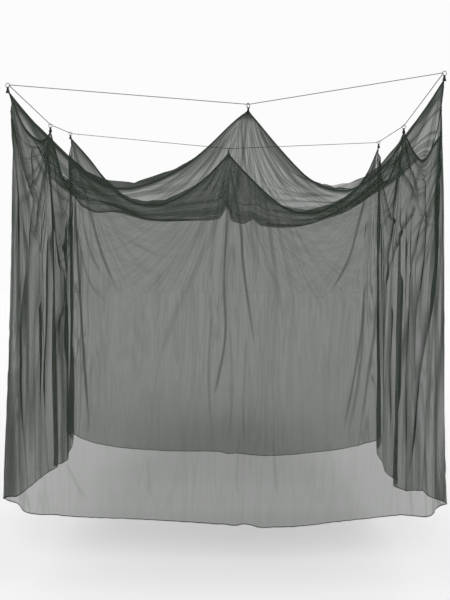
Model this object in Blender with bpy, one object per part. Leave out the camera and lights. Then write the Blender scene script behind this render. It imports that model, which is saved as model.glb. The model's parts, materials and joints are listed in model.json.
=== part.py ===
"""Mosquito net canopy: a box of thin net, hung by eight tape loops from a rectangle of cord.

Metres, +X to the right, +Y to the back, +Z up. The front is the long side at -Y. Heights in the
tables count from the lowest hem; main() then moves the origin to the middle of the four corner
rings, which the hooks hold.
"""
import math
from collections import namedtuple

import bmesh
import bpy
import numpy as np
from mathutils import Vector

# Cloth and trim, real sizes.
NET_THICKNESS = 0.0012
BINDING_SIZE = 0.004          # folded tape round the top edge, square in section
SEW_GAP = 0.0003              # clear space between two pieces that are sewn or seated
CORNER_GAP = 0.0009           # from a corner's line to the edge of each of its two walls
CORNER_DROP = 1.7             # a wall's top corner hangs lower under the binding's mitre
TAPE_WIDTH = 0.007
LOOP_RISE = 0.011             # from the top edge to the middle of the ring's lowest wire
RING_RADIUS = 0.0075          # to the middle of the wire
RING_WIRE = 0.003
CORD_DIAMETER = 0.003
CORD_BEND = 0.004             # radius of the cord's turn through a corner ring
CORD_CLEAR = 0.0007           # between the cord and the wire that it turns round
CORD_ABOVE = 0.0041           # how far the cord runs over the middle of the other rings
KNOT_RADIUS = 0.0046
KNOT_FROM_RING = 0.03

# How finely the sheets are divided.
COLUMNS = {"front": 44, "right": 36, "back": 44, "left": 36}
WALL_ROWS = 9
WALL_ROW_CROWDING = 1.25      # the rows stand closer together near the top
ROOF_ROWS = COLUMNS["left"] // 2
RING_STEPS = 16
WIRE_SIDES = 6
KNOT_STEPS = 10
CORD_POINTS_BETWEEN = 5       # along each straight stretch, its ends left out
CORD_TURN_STEPS = 4

# The top edge of the net where each loop holds it, in order round the net. ring_turn is the ring's
# yaw about Z in degrees; at 0 it faces the front.
HangPoint = namedtuple("HangPoint", "x y z ring_turn")
HANG_POINTS = {
    "front_left": HangPoint(-0.752, -0.500, 1.512, 0),
    "front_middle": HangPoint(0.080, -0.500, 1.442, 45),
    "front_right": HangPoint(0.758, -0.500, 1.553, 0),
    "right_middle": HangPoint(0.745, 0.000, 1.478, 0),
    "back_right": HangPoint(0.750, 0.500, 1.512, 0),
    "back_middle": HangPoint(0.022, 0.500, 1.478, -45),
    "back_left": HangPoint(-0.744, 0.500, 1.555, 0),
    "left_middle": HangPoint(-0.723, 0.000, 1.483, 0),
}

# The top edge hangs between two loops as a chain does. cut is the sewn length between them and
# bow is how far its middle stands out of line, away from the net.
Swag = namedtuple("Swag", "start end cut bow")
SIDES = {
    "front": (Swag("front_left", "front_middle", 1.070, 0.006),
              Swag("front_middle", "front_right", 0.990, 0.018)),
    "right": (Swag("front_right", "right_middle", 0.635, 0.012),
              Swag("right_middle", "back_right", 0.650, 0.006)),
    "back": (Swag("back_right", "back_middle", 1.025, 0.020),
             Swag("back_middle", "back_left", 1.005, 0.010)),
    "left": (Swag("back_left", "left_middle", 0.685, 0.000),
             Swag("left_middle", "front_left", 0.557, 0.008)),
}
OUTWARD = {"front": (0, -1), "right": (1, 0), "back": (0, 1), "left": (-1, 0)}

# The foot of each corner, and how far the corner's line strays from straight on its way down.
Corner = namedtuple("Corner", "x y z stray_x stray_y")
CORNERS = {
    "front_left": Corner(-0.775, -0.508, 0.100, 0.024, 0.010),
    "front_right": Corner(0.772, -0.506, 0.078, 0.010, -0.010),
    "back_right": Corner(0.762, 0.512, 0.100, -0.012, -0.012),
    "back_left": Corner(-0.770, 0.508, 0.130, 0.020, -0.008),
}

# The hem's height along each wall, at fractions of the way from the wall's first corner. out is
# how far it hangs out of line, away from the net.
Hem = namedtuple("Hem", "at z out")
HEMS = {
    "front": (Hem(0.00, 0.100, 0.000), Hem(0.05, 0.062, 0.016), Hem(0.13, 0.040, 0.004),
              Hem(0.28, 0.031, -0.010), Hem(0.50, 0.008, 0.006), Hem(0.64, 0.000, -0.008),
              Hem(0.76, 0.021, 0.008), Hem(0.86, 0.034, -0.004), Hem(0.95, 0.046, 0.018),
              Hem(1.00, 0.078, 0.000)),
    "right": (Hem(0.00, 0.078, 0.000), Hem(0.12, 0.092, -0.010), Hem(0.26, 0.052, 0.016),
              Hem(0.42, 0.006, -0.012), Hem(0.60, 0.004, 0.010), Hem(0.78, 0.006, -0.012),
              Hem(0.91, 0.040, 0.012), Hem(1.00, 0.100, 0.000)),
    "back": (Hem(0.00, 0.100, 0.000), Hem(0.07, 0.062, 0.014), Hem(0.22, 0.030, -0.006),
             Hem(0.36, 0.014, 0.010), Hem(0.52, 0.031, -0.004), Hem(0.70, 0.042, 0.010),
             Hem(0.86, 0.062, -0.006), Hem(0.95, 0.092, 0.014), Hem(1.00, 0.130, 0.000)),
    "left": (Hem(0.00, 0.130, 0.000), Hem(0.12, 0.070, 0.012), Hem(0.28, 0.056, -0.014),
             Hem(0.46, 0.078, 0.010), Hem(0.66, 0.090, -0.012), Hem(0.86, 0.096, 0.010),
             Hem(1.00, 0.100, 0.000)),
}

# Main folds of each wall. at and drift place a fold along the wall, at its top and how far it has
# moved when it reaches the hem; width is the half width, all as fractions of the wall. out is its
# depth away from the net, starts is how far down it begins, and hem is what is left of it below.
Fold = namedtuple("Fold", "at drift width out starts hem")
FOLDS = {
    "front": (Fold(0.05, 0.01, 0.045, 0.030, 0.02, 1.0), Fold(0.12, 0.00, 0.040, -0.048, 0.05, 0.8),
              Fold(0.20, 0.02, 0.050, 0.022, 0.10, 0.5), Fold(0.29, 0.04, 0.065, -0.050, 0.06, 0.2),
              Fold(0.42, -0.03, 0.050, 0.016, 0.04, 0.4), Fold(0.47, -0.05, 0.035, -0.020, 0.02, 0.3),
              Fold(0.56, 0.05, 0.035, -0.018, 0.02, 0.4), Fold(0.61, 0.06, 0.050, 0.016, 0.05, 0.3),
              Fold(0.74, -0.02, 0.060, -0.042, 0.06, 0.3), Fold(0.83, 0.00, 0.045, 0.022, 0.10, 0.6),
              Fold(0.90, 0.00, 0.040, -0.045, 0.05, 0.9), Fold(0.96, 0.00, 0.035, 0.026, 0.02, 1.0)),
    "right": (Fold(0.07, 0.01, 0.050, -0.040, 0.02, 0.9), Fold(0.16, 0.01, 0.055, 0.036, 0.04, 1.0),
              Fold(0.27, -0.02, 0.060, -0.034, 0.05, 0.8), Fold(0.38, 0.02, 0.055, 0.030, 0.05, 0.9),
              Fold(0.50, 0.00, 0.060, -0.044, 0.02, 0.8), Fold(0.61, -0.01, 0.055, 0.028, 0.05, 0.9),
              Fold(0.71, 0.02, 0.055, -0.030, 0.06, 0.8), Fold(0.82, 0.00, 0.055, 0.034, 0.04, 1.0),
              Fold(0.92, -0.01, 0.045, -0.036, 0.02, 0.9)),
    "back": (Fold(0.05, 0.01, 0.045, 0.026, 0.02, 1.0), Fold(0.13, -0.01, 0.045, -0.040, 0.05, 0.8),
             Fold(0.24, 0.06, 0.060, -0.030, 0.04, 0.3), Fold(0.33, 0.02, 0.055, 0.020, 0.08, 0.5),
             Fold(0.44, -0.04, 0.040, -0.024, 0.03, 0.5), Fold(0.52, 0.01, 0.035, 0.030, 0.02, 0.8),
             Fold(0.60, 0.04, 0.040, -0.022, 0.03, 0.4), Fold(0.72, -0.06, 0.060, -0.034, 0.05, 0.3),
             Fold(0.84, 0.01, 0.050, 0.022, 0.08, 0.6), Fold(0.93, 0.00, 0.045, -0.036, 0.03, 0.9)),
    "left": (Fold(0.08, 0.00, 0.050, -0.036, 0.02, 0.9), Fold(0.18, 0.02, 0.055, 0.034, 0.05, 1.0),
             Fold(0.28, -0.01, 0.055, -0.030, 0.05, 0.8), Fold(0.39, 0.01, 0.055, 0.026, 0.06, 0.9),
             Fold(0.51, 0.00, 0.060, -0.046, 0.02, 0.8), Fold(0.62, 0.02, 0.055, 0.030, 0.04, 0.9),
             Fold(0.73, -0.02, 0.060, -0.036, 0.05, 0.8), Fold(0.84, 0.01, 0.055, 0.040, 0.04, 1.0),
             Fold(0.93, 0.00, 0.045, -0.034, 0.02, 0.9)),
}
FOLD_FULL = 0.30              # a fold has its full depth this far below its start
CORNER_REACH = 0.10           # a corner's stray dies out over this share of a wall
EDGE_CALM = 0.035             # no fold this near a corner

# The roof: the surface that evenly spans its edges, and how far its middle hangs below that.
ROOF_SAG = 0.215
ROOF_EVEN_STEPS = 600
ROOF_PUFF = 0.022             # the roof stands this far above its edge, just inside a swag
ROOF_PUFF_FROM_EDGE = 0.10
FAN_DEPTH = 0.013             # folds that spread over the roof from each loop
FAN_FOLDS = 9
FAN_PEAK = 0.26
FAN_REACH = 0.60
FAN_CALM = 0.08               # no such fold this near the roof's edge

# Half of a tape loop's outline, seen along the tape's width, from the middle of the ring's wire:
# the tape goes over the wire and its two legs are sewn flat on each other below.
LoopPoint = namedtuple("LoopPoint", "outer_x outer_z inner_x inner_z")
LOOP_HALF = (LoopPoint(0.00000, 0.00400, 0.00000, 0.00300), LoopPoint(0.00190, 0.00335, 0.00138, 0.00245),
             LoopPoint(0.00285, 0.00140, 0.00185, 0.00120), LoopPoint(0.00285, -0.0009, 0.00185, -0.0006),
             LoopPoint(0.00220, -0.0027, 0.00135, -0.0020), LoopPoint(0.00140, -0.0042, 0.00050, -0.0033))
LOOP_HOLE_FOOT = 0.0042
LOOP_STEM_HALF = 0.0011

MATERIALS = {
    "net": ((0.030, 0.042, 0.026, 1.0), 0.90, 0.0),
    "binding_tape": ((0.014, 0.020, 0.012, 1.0), 0.85, 0.0),
    "loop_tape": ((0.008, 0.009, 0.008, 1.0), 0.80, 0.0),
    "ring_metal": ((0.620, 0.620, 0.600, 1.0), 0.30, 1.0),
    "cord_fibre": ((0.235, 0.240, 0.235, 1.0), 0.70, 0.0),
}


def clear_scene():
    """Remove what the file holds."""
    for scene_object in list(bpy.data.objects):
        bpy.data.objects.remove(scene_object)


def material(name):
    """One plain material of the table."""
    colour, roughness, metallic = MATERIALS[name]
    made = bpy.data.materials.new(name)
    made.use_nodes = True
    shader = made.node_tree.nodes["Principled BSDF"]
    shader.inputs["Base Color"].default_value = colour
    shader.inputs["Roughness"].default_value = roughness
    shader.inputs["Metallic"].default_value = metallic
    made.diffuse_color = colour
    return made


def smoothstep(value):
    """0 to 1 with a soft start and end."""
    value = np.clip(value, 0.0, 1.0)
    return value * value * (3.0 - 2.0 * value)


def through_rows(rows, column, at):
    """A smooth curve through one column of a table, whose rows are placed by their 'at'."""
    places = [row.at for row in rows]
    values = [getattr(row, column) for row in rows]
    slopes = np.gradient(values, places)
    k = int(np.clip(np.searchsorted(places, at) - 1, 0, len(places) - 2))
    span = places[k + 1] - places[k]
    t = (at - places[k]) / span
    return ((2 * t ** 3 - 3 * t ** 2 + 1) * values[k] + (t ** 3 - 2 * t ** 2 + t) * span * slopes[k]
            + (3 * t ** 2 - 2 * t ** 3) * values[k + 1] + (t ** 3 - t ** 2) * span * slopes[k + 1])


def chain(start, end, cut, fractions):
    """Points at fractions of a chain of length cut that hangs between two points."""
    run = math.hypot(end.x - start.x, end.y - start.y)
    rise = end.z - start.z
    wanted = math.sqrt(cut ** 2 - rise ** 2) / run
    low, high = 0.01, 5.0
    for _ in range(60):
        half = (low + high) / 2.0
        if math.sinh(half) / half < wanted:
            low = half
        else:
            high = half
    scale = run / (2.0 * half)
    lowest = run / 2.0 - scale * math.atanh(rise / cut)
    points = []
    for fraction in fractions:
        arc = fraction * cut - scale * math.sinh(lowest / scale)
        along = lowest + scale * math.asinh(arc / scale)
        height = scale * (math.cosh((along - lowest) / scale) - math.cosh(lowest / scale))
        share = along / run
        points.append(Vector((start.x + (end.x - start.x) * share,
                              start.y + (end.y - start.y) * share, start.z + height)))
    return points


def top_edge(side):
    """The seam along the top of one wall, from its first corner to its second."""
    points = []
    half = COLUMNS[side] // 2
    for swag in SIDES[side]:
        fractions = [k / half for k in range(half + 1)]
        line = chain(HANG_POINTS[swag.start], HANG_POINTS[swag.end], swag.cut, fractions)
        for point, fraction in zip(line, fractions):
            stand = swag.bow * math.sin(math.pi * fraction)
            point.x += OUTWARD[side][0] * stand
            point.y += OUTWARD[side][1] * stand
        points += line[1:] if points else line
    return points


def steepness(before, here, after):
    """How much longer a vertical cut through a sloping strip is than a square one."""
    ways = [(here - before), (after - here)]
    level = sum(math.hypot(way.x, way.y) / way.length for way in ways if way.length > 0)
    return len([way for way in ways if way.length > 0]) / level


def top_loop():
    """The whole top edge, once round, with the half height of its binding at every point."""
    points = []
    for side in SIDES:
        points += top_edge(side)[:-1]
    talls = [BINDING_SIZE / 2 * steepness(points[k - 1], point, points[(k + 1) % len(points)])
             for k, point in enumerate(points)]
    return points, talls


def corner_line(corner, share):
    """A point of the sewn corner between two walls, at a share of its way down."""
    top = HANG_POINTS[corner]
    foot = CORNERS[corner]
    stray = math.sin(math.pi * share) * (1.0 - 0.4 * share)
    return Vector((top.x + (foot.x - top.x) * share + foot.stray_x * stray,
                   top.y + (foot.y - top.y) * share + foot.stray_y * stray,
                   top.z + (foot.z - top.z) * share))


def fold_depth(side, at, share):
    """How far the wall stands out of line, from its table of folds."""
    depth = 0.0
    for fold in FOLDS[side]:
        middle = fold.at + fold.drift * share
        shape = math.exp(-((at - middle) / fold.width) ** 2 * 1.6)
        grown = smoothstep((share - fold.starts) / FOLD_FULL)
        kept = 1.0 + (fold.hem - 1.0) * smoothstep((share - 0.55) / 0.45)
        depth += fold.out * shape * grown * kept
    calm = smoothstep(min(at, 1.0 - at) / EDGE_CALM)
    return depth * calm


def wall_points(side):
    """The middle surface of one wall, as rows of points from the top edge to the hem."""
    edge = top_edge(side)
    columns = COLUMNS[side]
    first = SIDES[side][0].start
    second = SIDES[side][1].end
    start_foot = corner_line(first, 1.0)
    end_foot = corner_line(second, 1.0)
    out = Vector((*OUTWARD[side], 0.0))
    rows = []
    for r in range(WALL_ROWS + 1):
        share = (r / WALL_ROWS) ** WALL_ROW_CROWDING
        row = []
        for c, top in enumerate(edge):
            at = c / columns
            before = edge[max(c - 1, 0)]
            after = edge[min(c + 1, columns)]
            drop = (BINDING_SIZE / 2 + SEW_GAP) * steepness(before, top, after)
            if c in (0, columns):
                drop *= CORNER_DROP
            hem = start_foot.lerp(end_foot, at) + out * through_rows(HEMS[side], "out", at)
            hem.z = through_rows(HEMS[side], "z", at)
            point = (top - Vector((0, 0, drop))).lerp(hem, share)
            for corner, distance in ((first, at), (second, 1.0 - at)):
                straight = corner_line(corner, 0.0).lerp(corner_line(corner, 1.0), share)
                hold = (1.0 - smoothstep(distance / CORNER_REACH))
                point += (corner_line(corner, share) - straight) * hold
            point += out * fold_depth(side, at, share)
            row.append(point)
        for end, neighbour in ((0, 1), (-1, -2)):
            way = row[neighbour] - row[end]
            row[end] += way * (CORNER_GAP / math.hypot(way.x, way.y))
        rows.append(row)
    return rows


def roof_edges():
    """The roof's own edge beside the binding: front and back from the left, sides from the front."""
    inset = (BINDING_SIZE + NET_THICKNESS) / 2 + SEW_GAP
    lines = {}
    for side in SIDES:
        line = top_edge(side)
        if side in ("back", "left"):
            line.reverse()
        inward = -Vector((*OUTWARD[side], 0.0))
        line = [point + inward * inset for point in line]
        along = (line[-1] - line[0]).normalized()
        along.z = 0.0
        line[0] += along * inset
        line[-1] -= along * inset
        lines[side] = line
    return lines


def fan_height(point):
    """Folds that spread over the roof from every loop."""
    height = 0.0
    for index, hang in enumerate(HANG_POINTS.values()):
        away = math.hypot(point.x - hang.x, point.y - hang.y)
        turn = math.atan2(point.y - hang.y, point.x - hang.x)
        swell = (away / FAN_PEAK) * math.exp(1.0 - away / FAN_PEAK)
        fade = 1.0 - smoothstep(away / FAN_REACH)
        height += FAN_DEPTH * swell * fade * math.cos(FAN_FOLDS * turn + index)
    return height


def even_span(edges):
    """Points that span four edges, each inner one midway between its four neighbours."""
    front, back = np.array(edges["front"]), np.array(edges["back"])
    left, right = np.array(edges["left"][::2]), np.array(edges["right"][::2])
    across = np.linspace(0.0, 1.0, ROOF_ROWS + 1)[:, None, None]
    grid = front * (1.0 - across) + back * across
    grid[:, 0], grid[:, -1] = left, right
    for _ in range(ROOF_EVEN_STEPS):
        grid[1:-1, 1:-1] = (grid[:-2, 1:-1] + grid[2:, 1:-1] + grid[1:-1, :-2] + grid[1:-1, 2:]) / 4.0
    return grid


def roof_points():
    """The roof's middle surface: it spans its four edges and sags between them."""
    grid = even_span(roof_edges())
    rows = []
    for j in range(ROOF_ROWS + 1):
        v = j / ROOF_ROWS
        row = []
        for i in range(COLUMNS["front"] + 1):
            u = i / COLUMNS["front"]
            point = Vector(grid[j, i])
            point.z -= ROOF_SAG * (1.0 - (2.0 * u - 1.0) ** 4) * (4.0 * v * (1.0 - v)) ** 0.8
            swag_share = math.sin(2.0 * math.pi * u) ** 2
            near_edge = min(v, 1.0 - v) / ROOF_PUFF_FROM_EDGE
            point.z += ROOF_PUFF * swag_share * near_edge * math.exp(1.0 - near_edge)
            point.z += fan_height(point) * smoothstep(min(u, 1.0 - u, v, 1.0 - v) / FAN_CALM)
            row.append(point)
        rows.append(row)
    return rows


def sheet(name, rows, finish):
    """A thin closed sheet on a grid of points."""
    width = len(rows[0])
    points = [point for row in rows for point in row]
    faces = []
    for r in range(len(rows) - 1):
        for c in range(width - 1):
            a = r * width + c
            faces.append((a, a + 1, a + width + 1, a + width))
    mesh = bpy.data.meshes.new(name)
    mesh.from_pydata(points, [], faces)
    mesh.shade_smooth()
    made = add_object(name, mesh, finish)
    thicken = made.modifiers.new("Thickness", "SOLIDIFY")
    thicken.thickness = NET_THICKNESS
    thicken.offset = 0.0
    thicken.use_even_offset = True
    return made


def add_object(name, mesh, finish):
    """Put a mesh in the scene under its own name."""
    mesh.materials.append(finish)
    made = bpy.data.objects.new(name, mesh)
    bpy.context.collection.objects.link(made)
    return made


def swept_ring(name, sections, finish):
    """A closed band through equal sections, the last one joined to the first."""
    sides = len(sections[0])
    count = len(sections)
    points = [point for section in sections for point in section]
    faces = []
    for k in range(count):
        for s in range(sides):
            a, b = k * sides + s, k * sides + (s + 1) % sides
            c, d = (k + 1) % count * sides + (s + 1) % sides, (k + 1) % count * sides + s
            faces.append((a, b, c, d))
    mesh = bpy.data.meshes.new(name)
    mesh.from_pydata(points, [], faces)
    shell = bmesh.new()
    shell.from_mesh(mesh)
    bmesh.ops.recalc_face_normals(shell, faces=shell.faces)
    shell.to_mesh(mesh)
    shell.free()
    mesh.shade_smooth()
    mesh.set_sharp_from_angle(angle=math.radians(50))
    return add_object(name, mesh, finish)


def binding(finish):
    """The tape folded round the whole top edge, from loop to loop."""
    points, talls = top_loop()
    outs = []
    for side in SIDES:
        outs += [Vector((*OUTWARD[side], 0.0))] * COLUMNS[side]
    half = BINDING_SIZE / 2
    sections = []
    for k, (point, tall) in enumerate(zip(points, talls)):
        out = outs[k] if outs[k - 1] == outs[k] else outs[k] + outs[k - 1]
        sections.append([point + out * half * sx + Vector((0, 0, tall * sz))
                         for sx, sz in ((1, 1), (-1, 1), (-1, -1), (1, -1))])
    return swept_ring("top_binding", sections, finish)


def ring_middle(name):
    """The middle of the ring over one loop."""
    hang = HANG_POINTS[name]
    return Vector((hang.x, hang.y, hang.z + LOOP_RISE + RING_RADIUS))


def hook_middle():
    """The point midway between the four corner rings."""
    middles = [ring_middle(name) for name in CORNERS]
    return sum(middles, Vector()) / len(middles)


def hanging_ring(name, finish):
    """A wire ring, upright, with a flat facet of its wire under the highest point."""
    sections = []
    for k in range(RING_STEPS):
        turn = 2 * math.pi * (k + 0.5) / RING_STEPS
        way = Vector((math.cos(turn), 0, math.sin(turn)))
        section = []
        for s in range(WIRE_SIDES):
            lean = 2 * math.pi * (s + 0.5) / WIRE_SIDES
            section.append(way * (RING_RADIUS + RING_WIRE / 2 * math.cos(lean))
                           + Vector((0, RING_WIRE / 2 * math.sin(lean), 0)))
        sections.append(section)
    made = swept_ring(f"ring_{name}", sections, finish)
    made.location = ring_middle(name)
    made.rotation_euler.z = math.radians(HANG_POINTS[name].ring_turn)
    return made


def tape_loop(name, finish):
    """The tape from the top edge over the ring's wire and back."""
    hang = Vector(HANG_POINTS[name][:3])
    points, talls = top_loop()
    tall = min(zip(points, talls), key=lambda pair: (pair[0] - hang).length)[1]
    foot = LOOP_RISE - tall - SEW_GAP
    half = list(LOOP_HALF)
    half.append(LoopPoint(LOOP_STEM_HALF, -foot, 0.0002, -LOOP_HOLE_FOOT))
    lowest = LoopPoint(0.0, -foot, 0.0, -LOOP_HOLE_FOOT - 0.0001)
    mirrored = [LoopPoint(-p.outer_x, p.outer_z, -p.inner_x, p.inner_z) for p in half[:0:-1]]
    sections = []
    for p in half + [lowest] + mirrored:
        reach = TAPE_WIDTH / 2
        sections.append([Vector((-reach, p.outer_x, p.outer_z)), Vector((reach, p.outer_x, p.outer_z)),
                         Vector((reach, p.inner_x, p.inner_z)), Vector((-reach, p.inner_x, p.inner_z))])
    made = swept_ring(f"loop_{name}", sections, finish)
    made.location = ring_middle(name) - Vector((0, 0, RING_RADIUS))
    made.rotation_euler.z = math.radians(HANG_POINTS[name].ring_turn)
    return made


def cord_route():
    """The cord's middle line, through the eight rings and back to its knot."""
    corner_side = {"front_left": (1, -1), "front_right": (-1, -1),
                   "back_right": (-1, 1), "back_left": (1, 1)}
    clear = (RING_WIRE + CORD_DIAMETER) / 2 + CORD_CLEAR
    inset = RING_RADIUS - clear
    order = ("back_left", "back_middle", "back_right", "right_middle", "front_right",
             "front_middle", "front_left", "left_middle", "back_left")
    stations = []
    for name in order:
        middle = ring_middle(name)
        if name in corner_side:
            toward_x, outside_y = corner_side[name]
            centre = middle + Vector((toward_x * (inset + CORD_BEND), outside_y * (clear - CORD_BEND), 0))
            turns = [math.pi / 2 * k / CORD_TURN_STEPS for k in range(CORD_TURN_STEPS + 1)]
            arc = [centre + Vector((-toward_x * CORD_BEND * math.cos(turn),
                                    outside_y * CORD_BEND * math.sin(turn), 0)) for turn in turns]
            came_along_x = name in ("back_right", "front_left")
            stations.append(arc[::-1] if came_along_x else arc)
        else:
            stations.append([middle + Vector((0, 0, CORD_ABOVE))])
    first = stations[0][-1]
    toward = (stations[1][0] - first).normalized()
    stations[0] = [first + toward * (KNOT_FROM_RING + KNOT_RADIUS + SEW_GAP)]
    stations[-1] = stations[-1] + [first + toward * (KNOT_FROM_RING - KNOT_RADIUS - SEW_GAP)]
    return stations, first + toward * KNOT_FROM_RING


def cord(finish):
    """The taut cord that carries the net, ended at its knot."""
    stations, _ = cord_route()
    points = []
    for station, following in zip(stations, stations[1:]):
        points += station
        start, end = station[-1], following[0]
        points += [start.lerp(end, (k + 1) / (CORD_POINTS_BETWEEN + 1))
                   for k in range(CORD_POINTS_BETWEEN)]
    points += stations[-1]
    curve = bpy.data.curves.new("cord", "CURVE")
    curve.dimensions = "3D"
    curve.bevel_depth = CORD_DIAMETER / 2
    curve.bevel_resolution = 2
    curve.use_fill_caps = True
    spline = curve.splines.new("POLY")
    spline.points.add(len(points) - 1)
    for spline_point, point in zip(spline.points, points):
        spline_point.co = (*point, 1.0)
    curve.materials.append(finish)
    made = bpy.data.objects.new("cord", curve)
    bpy.context.collection.objects.link(made)
    return made


def knot(finish):
    """The knot where the cord's two ends meet, near the back left ring."""
    _, middle = cord_route()
    mesh = bpy.data.meshes.new("cord_knot")
    ball = bmesh.new()
    bmesh.ops.create_uvsphere(ball, u_segments=KNOT_STEPS, v_segments=KNOT_STEPS - 2,
                              radius=KNOT_RADIUS)
    ball.to_mesh(mesh)
    ball.free()
    mesh.shade_smooth()
    made = add_object("cord_knot", mesh, finish)
    made.location = middle
    made.rotation_euler.y = math.pi / 2
    return made


def main():
    """Build the net, what it is sewn with and what it hangs from."""
    clear_scene()
    finishes = {name: material(name) for name in MATERIALS}
    sheet("roof", roof_points(), finishes["net"])
    for side in SIDES:
        sheet(f"wall_{side}", wall_points(side), finishes["net"])
    binding(finishes["binding_tape"])
    for name in HANG_POINTS:
        tape_loop(name, finishes["loop_tape"])
        hanging_ring(name, finishes["ring_metal"])
    cord(finishes["cord_fibre"])
    knot(finishes["cord_fibre"])
    hooks = bpy.data.objects.new("hook_middle", None)
    bpy.context.collection.objects.link(hooks)
    hooks.location = -hook_middle()
    for piece in bpy.data.objects:
        if piece != hooks:
            piece.parent = hooks


main()
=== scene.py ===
"""The looks of a mosquito net canopy: its sheer net, tapes, rings and cord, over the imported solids.

Metres. The tables count heights from the lowest hem, as the cutting plan does, and hook_frame()
moves a point to the row's own origin, midway between the four corner rings.
"""

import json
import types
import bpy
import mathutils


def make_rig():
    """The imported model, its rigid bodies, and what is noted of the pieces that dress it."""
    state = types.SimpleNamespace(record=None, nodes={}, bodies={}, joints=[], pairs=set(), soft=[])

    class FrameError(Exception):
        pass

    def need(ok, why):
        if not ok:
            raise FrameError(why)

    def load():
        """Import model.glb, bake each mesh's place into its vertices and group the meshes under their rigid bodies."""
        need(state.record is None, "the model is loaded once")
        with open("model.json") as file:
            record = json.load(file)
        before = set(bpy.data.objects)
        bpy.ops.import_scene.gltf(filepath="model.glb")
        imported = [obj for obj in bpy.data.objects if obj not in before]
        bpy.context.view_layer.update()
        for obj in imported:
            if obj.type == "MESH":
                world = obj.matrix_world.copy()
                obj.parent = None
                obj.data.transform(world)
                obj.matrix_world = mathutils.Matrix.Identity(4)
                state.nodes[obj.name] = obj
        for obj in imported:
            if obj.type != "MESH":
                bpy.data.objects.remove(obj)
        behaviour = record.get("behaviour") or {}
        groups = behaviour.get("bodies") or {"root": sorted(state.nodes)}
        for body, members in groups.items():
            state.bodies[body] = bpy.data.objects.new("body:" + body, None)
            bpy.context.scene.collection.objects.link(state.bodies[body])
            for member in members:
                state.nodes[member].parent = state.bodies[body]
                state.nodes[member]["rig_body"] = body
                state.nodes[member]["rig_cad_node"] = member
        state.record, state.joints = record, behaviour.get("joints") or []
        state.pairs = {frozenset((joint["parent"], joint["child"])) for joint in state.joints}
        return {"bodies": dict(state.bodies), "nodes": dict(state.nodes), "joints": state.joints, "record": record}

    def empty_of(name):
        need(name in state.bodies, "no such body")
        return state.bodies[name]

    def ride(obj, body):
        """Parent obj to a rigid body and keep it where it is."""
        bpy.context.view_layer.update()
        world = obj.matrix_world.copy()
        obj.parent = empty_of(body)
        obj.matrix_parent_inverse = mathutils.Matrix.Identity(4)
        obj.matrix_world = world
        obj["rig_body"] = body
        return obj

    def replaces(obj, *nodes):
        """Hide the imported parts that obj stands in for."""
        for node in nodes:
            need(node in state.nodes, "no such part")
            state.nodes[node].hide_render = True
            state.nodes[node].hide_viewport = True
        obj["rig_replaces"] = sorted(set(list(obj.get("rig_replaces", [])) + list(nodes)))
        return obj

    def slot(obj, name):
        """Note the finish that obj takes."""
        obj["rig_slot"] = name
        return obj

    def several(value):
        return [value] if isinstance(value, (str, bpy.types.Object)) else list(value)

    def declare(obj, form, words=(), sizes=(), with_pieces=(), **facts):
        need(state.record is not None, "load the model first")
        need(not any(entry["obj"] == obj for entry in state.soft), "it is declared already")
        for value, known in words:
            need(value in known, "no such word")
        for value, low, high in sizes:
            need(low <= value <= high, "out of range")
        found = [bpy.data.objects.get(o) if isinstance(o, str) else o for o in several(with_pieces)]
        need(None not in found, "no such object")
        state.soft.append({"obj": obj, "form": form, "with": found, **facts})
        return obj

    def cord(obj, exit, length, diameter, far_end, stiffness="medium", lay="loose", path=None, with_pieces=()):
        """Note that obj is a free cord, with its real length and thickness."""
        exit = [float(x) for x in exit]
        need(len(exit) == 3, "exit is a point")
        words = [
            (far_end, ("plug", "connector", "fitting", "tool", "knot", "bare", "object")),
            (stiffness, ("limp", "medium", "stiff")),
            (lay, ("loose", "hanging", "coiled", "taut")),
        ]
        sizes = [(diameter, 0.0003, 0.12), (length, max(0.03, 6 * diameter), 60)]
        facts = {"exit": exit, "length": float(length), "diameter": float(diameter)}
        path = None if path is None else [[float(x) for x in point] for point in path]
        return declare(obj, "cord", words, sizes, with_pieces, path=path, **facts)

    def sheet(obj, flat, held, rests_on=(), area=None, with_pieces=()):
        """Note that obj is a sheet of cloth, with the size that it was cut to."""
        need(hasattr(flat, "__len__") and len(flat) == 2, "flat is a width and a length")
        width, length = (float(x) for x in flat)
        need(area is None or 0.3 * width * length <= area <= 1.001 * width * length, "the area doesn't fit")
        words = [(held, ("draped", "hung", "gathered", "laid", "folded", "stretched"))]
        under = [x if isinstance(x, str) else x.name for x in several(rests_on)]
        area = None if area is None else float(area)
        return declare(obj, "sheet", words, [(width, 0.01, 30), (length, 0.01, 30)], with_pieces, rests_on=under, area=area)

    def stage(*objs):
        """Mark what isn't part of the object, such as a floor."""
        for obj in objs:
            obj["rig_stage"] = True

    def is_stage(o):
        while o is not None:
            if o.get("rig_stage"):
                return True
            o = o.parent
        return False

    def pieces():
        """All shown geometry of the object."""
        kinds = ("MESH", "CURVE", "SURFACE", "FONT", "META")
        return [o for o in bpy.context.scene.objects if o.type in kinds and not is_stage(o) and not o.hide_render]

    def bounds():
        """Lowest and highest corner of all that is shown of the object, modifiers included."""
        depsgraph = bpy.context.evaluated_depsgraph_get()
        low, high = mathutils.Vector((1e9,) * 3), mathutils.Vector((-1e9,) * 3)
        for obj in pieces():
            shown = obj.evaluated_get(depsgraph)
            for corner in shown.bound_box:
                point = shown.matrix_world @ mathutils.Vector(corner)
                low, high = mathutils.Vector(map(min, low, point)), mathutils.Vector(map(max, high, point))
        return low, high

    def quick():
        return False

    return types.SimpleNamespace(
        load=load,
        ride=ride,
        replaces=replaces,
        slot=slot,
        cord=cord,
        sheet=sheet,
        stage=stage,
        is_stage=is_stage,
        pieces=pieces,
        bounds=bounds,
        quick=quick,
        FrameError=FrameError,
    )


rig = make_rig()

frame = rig.load()

import json
import math
from collections import namedtuple

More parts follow.
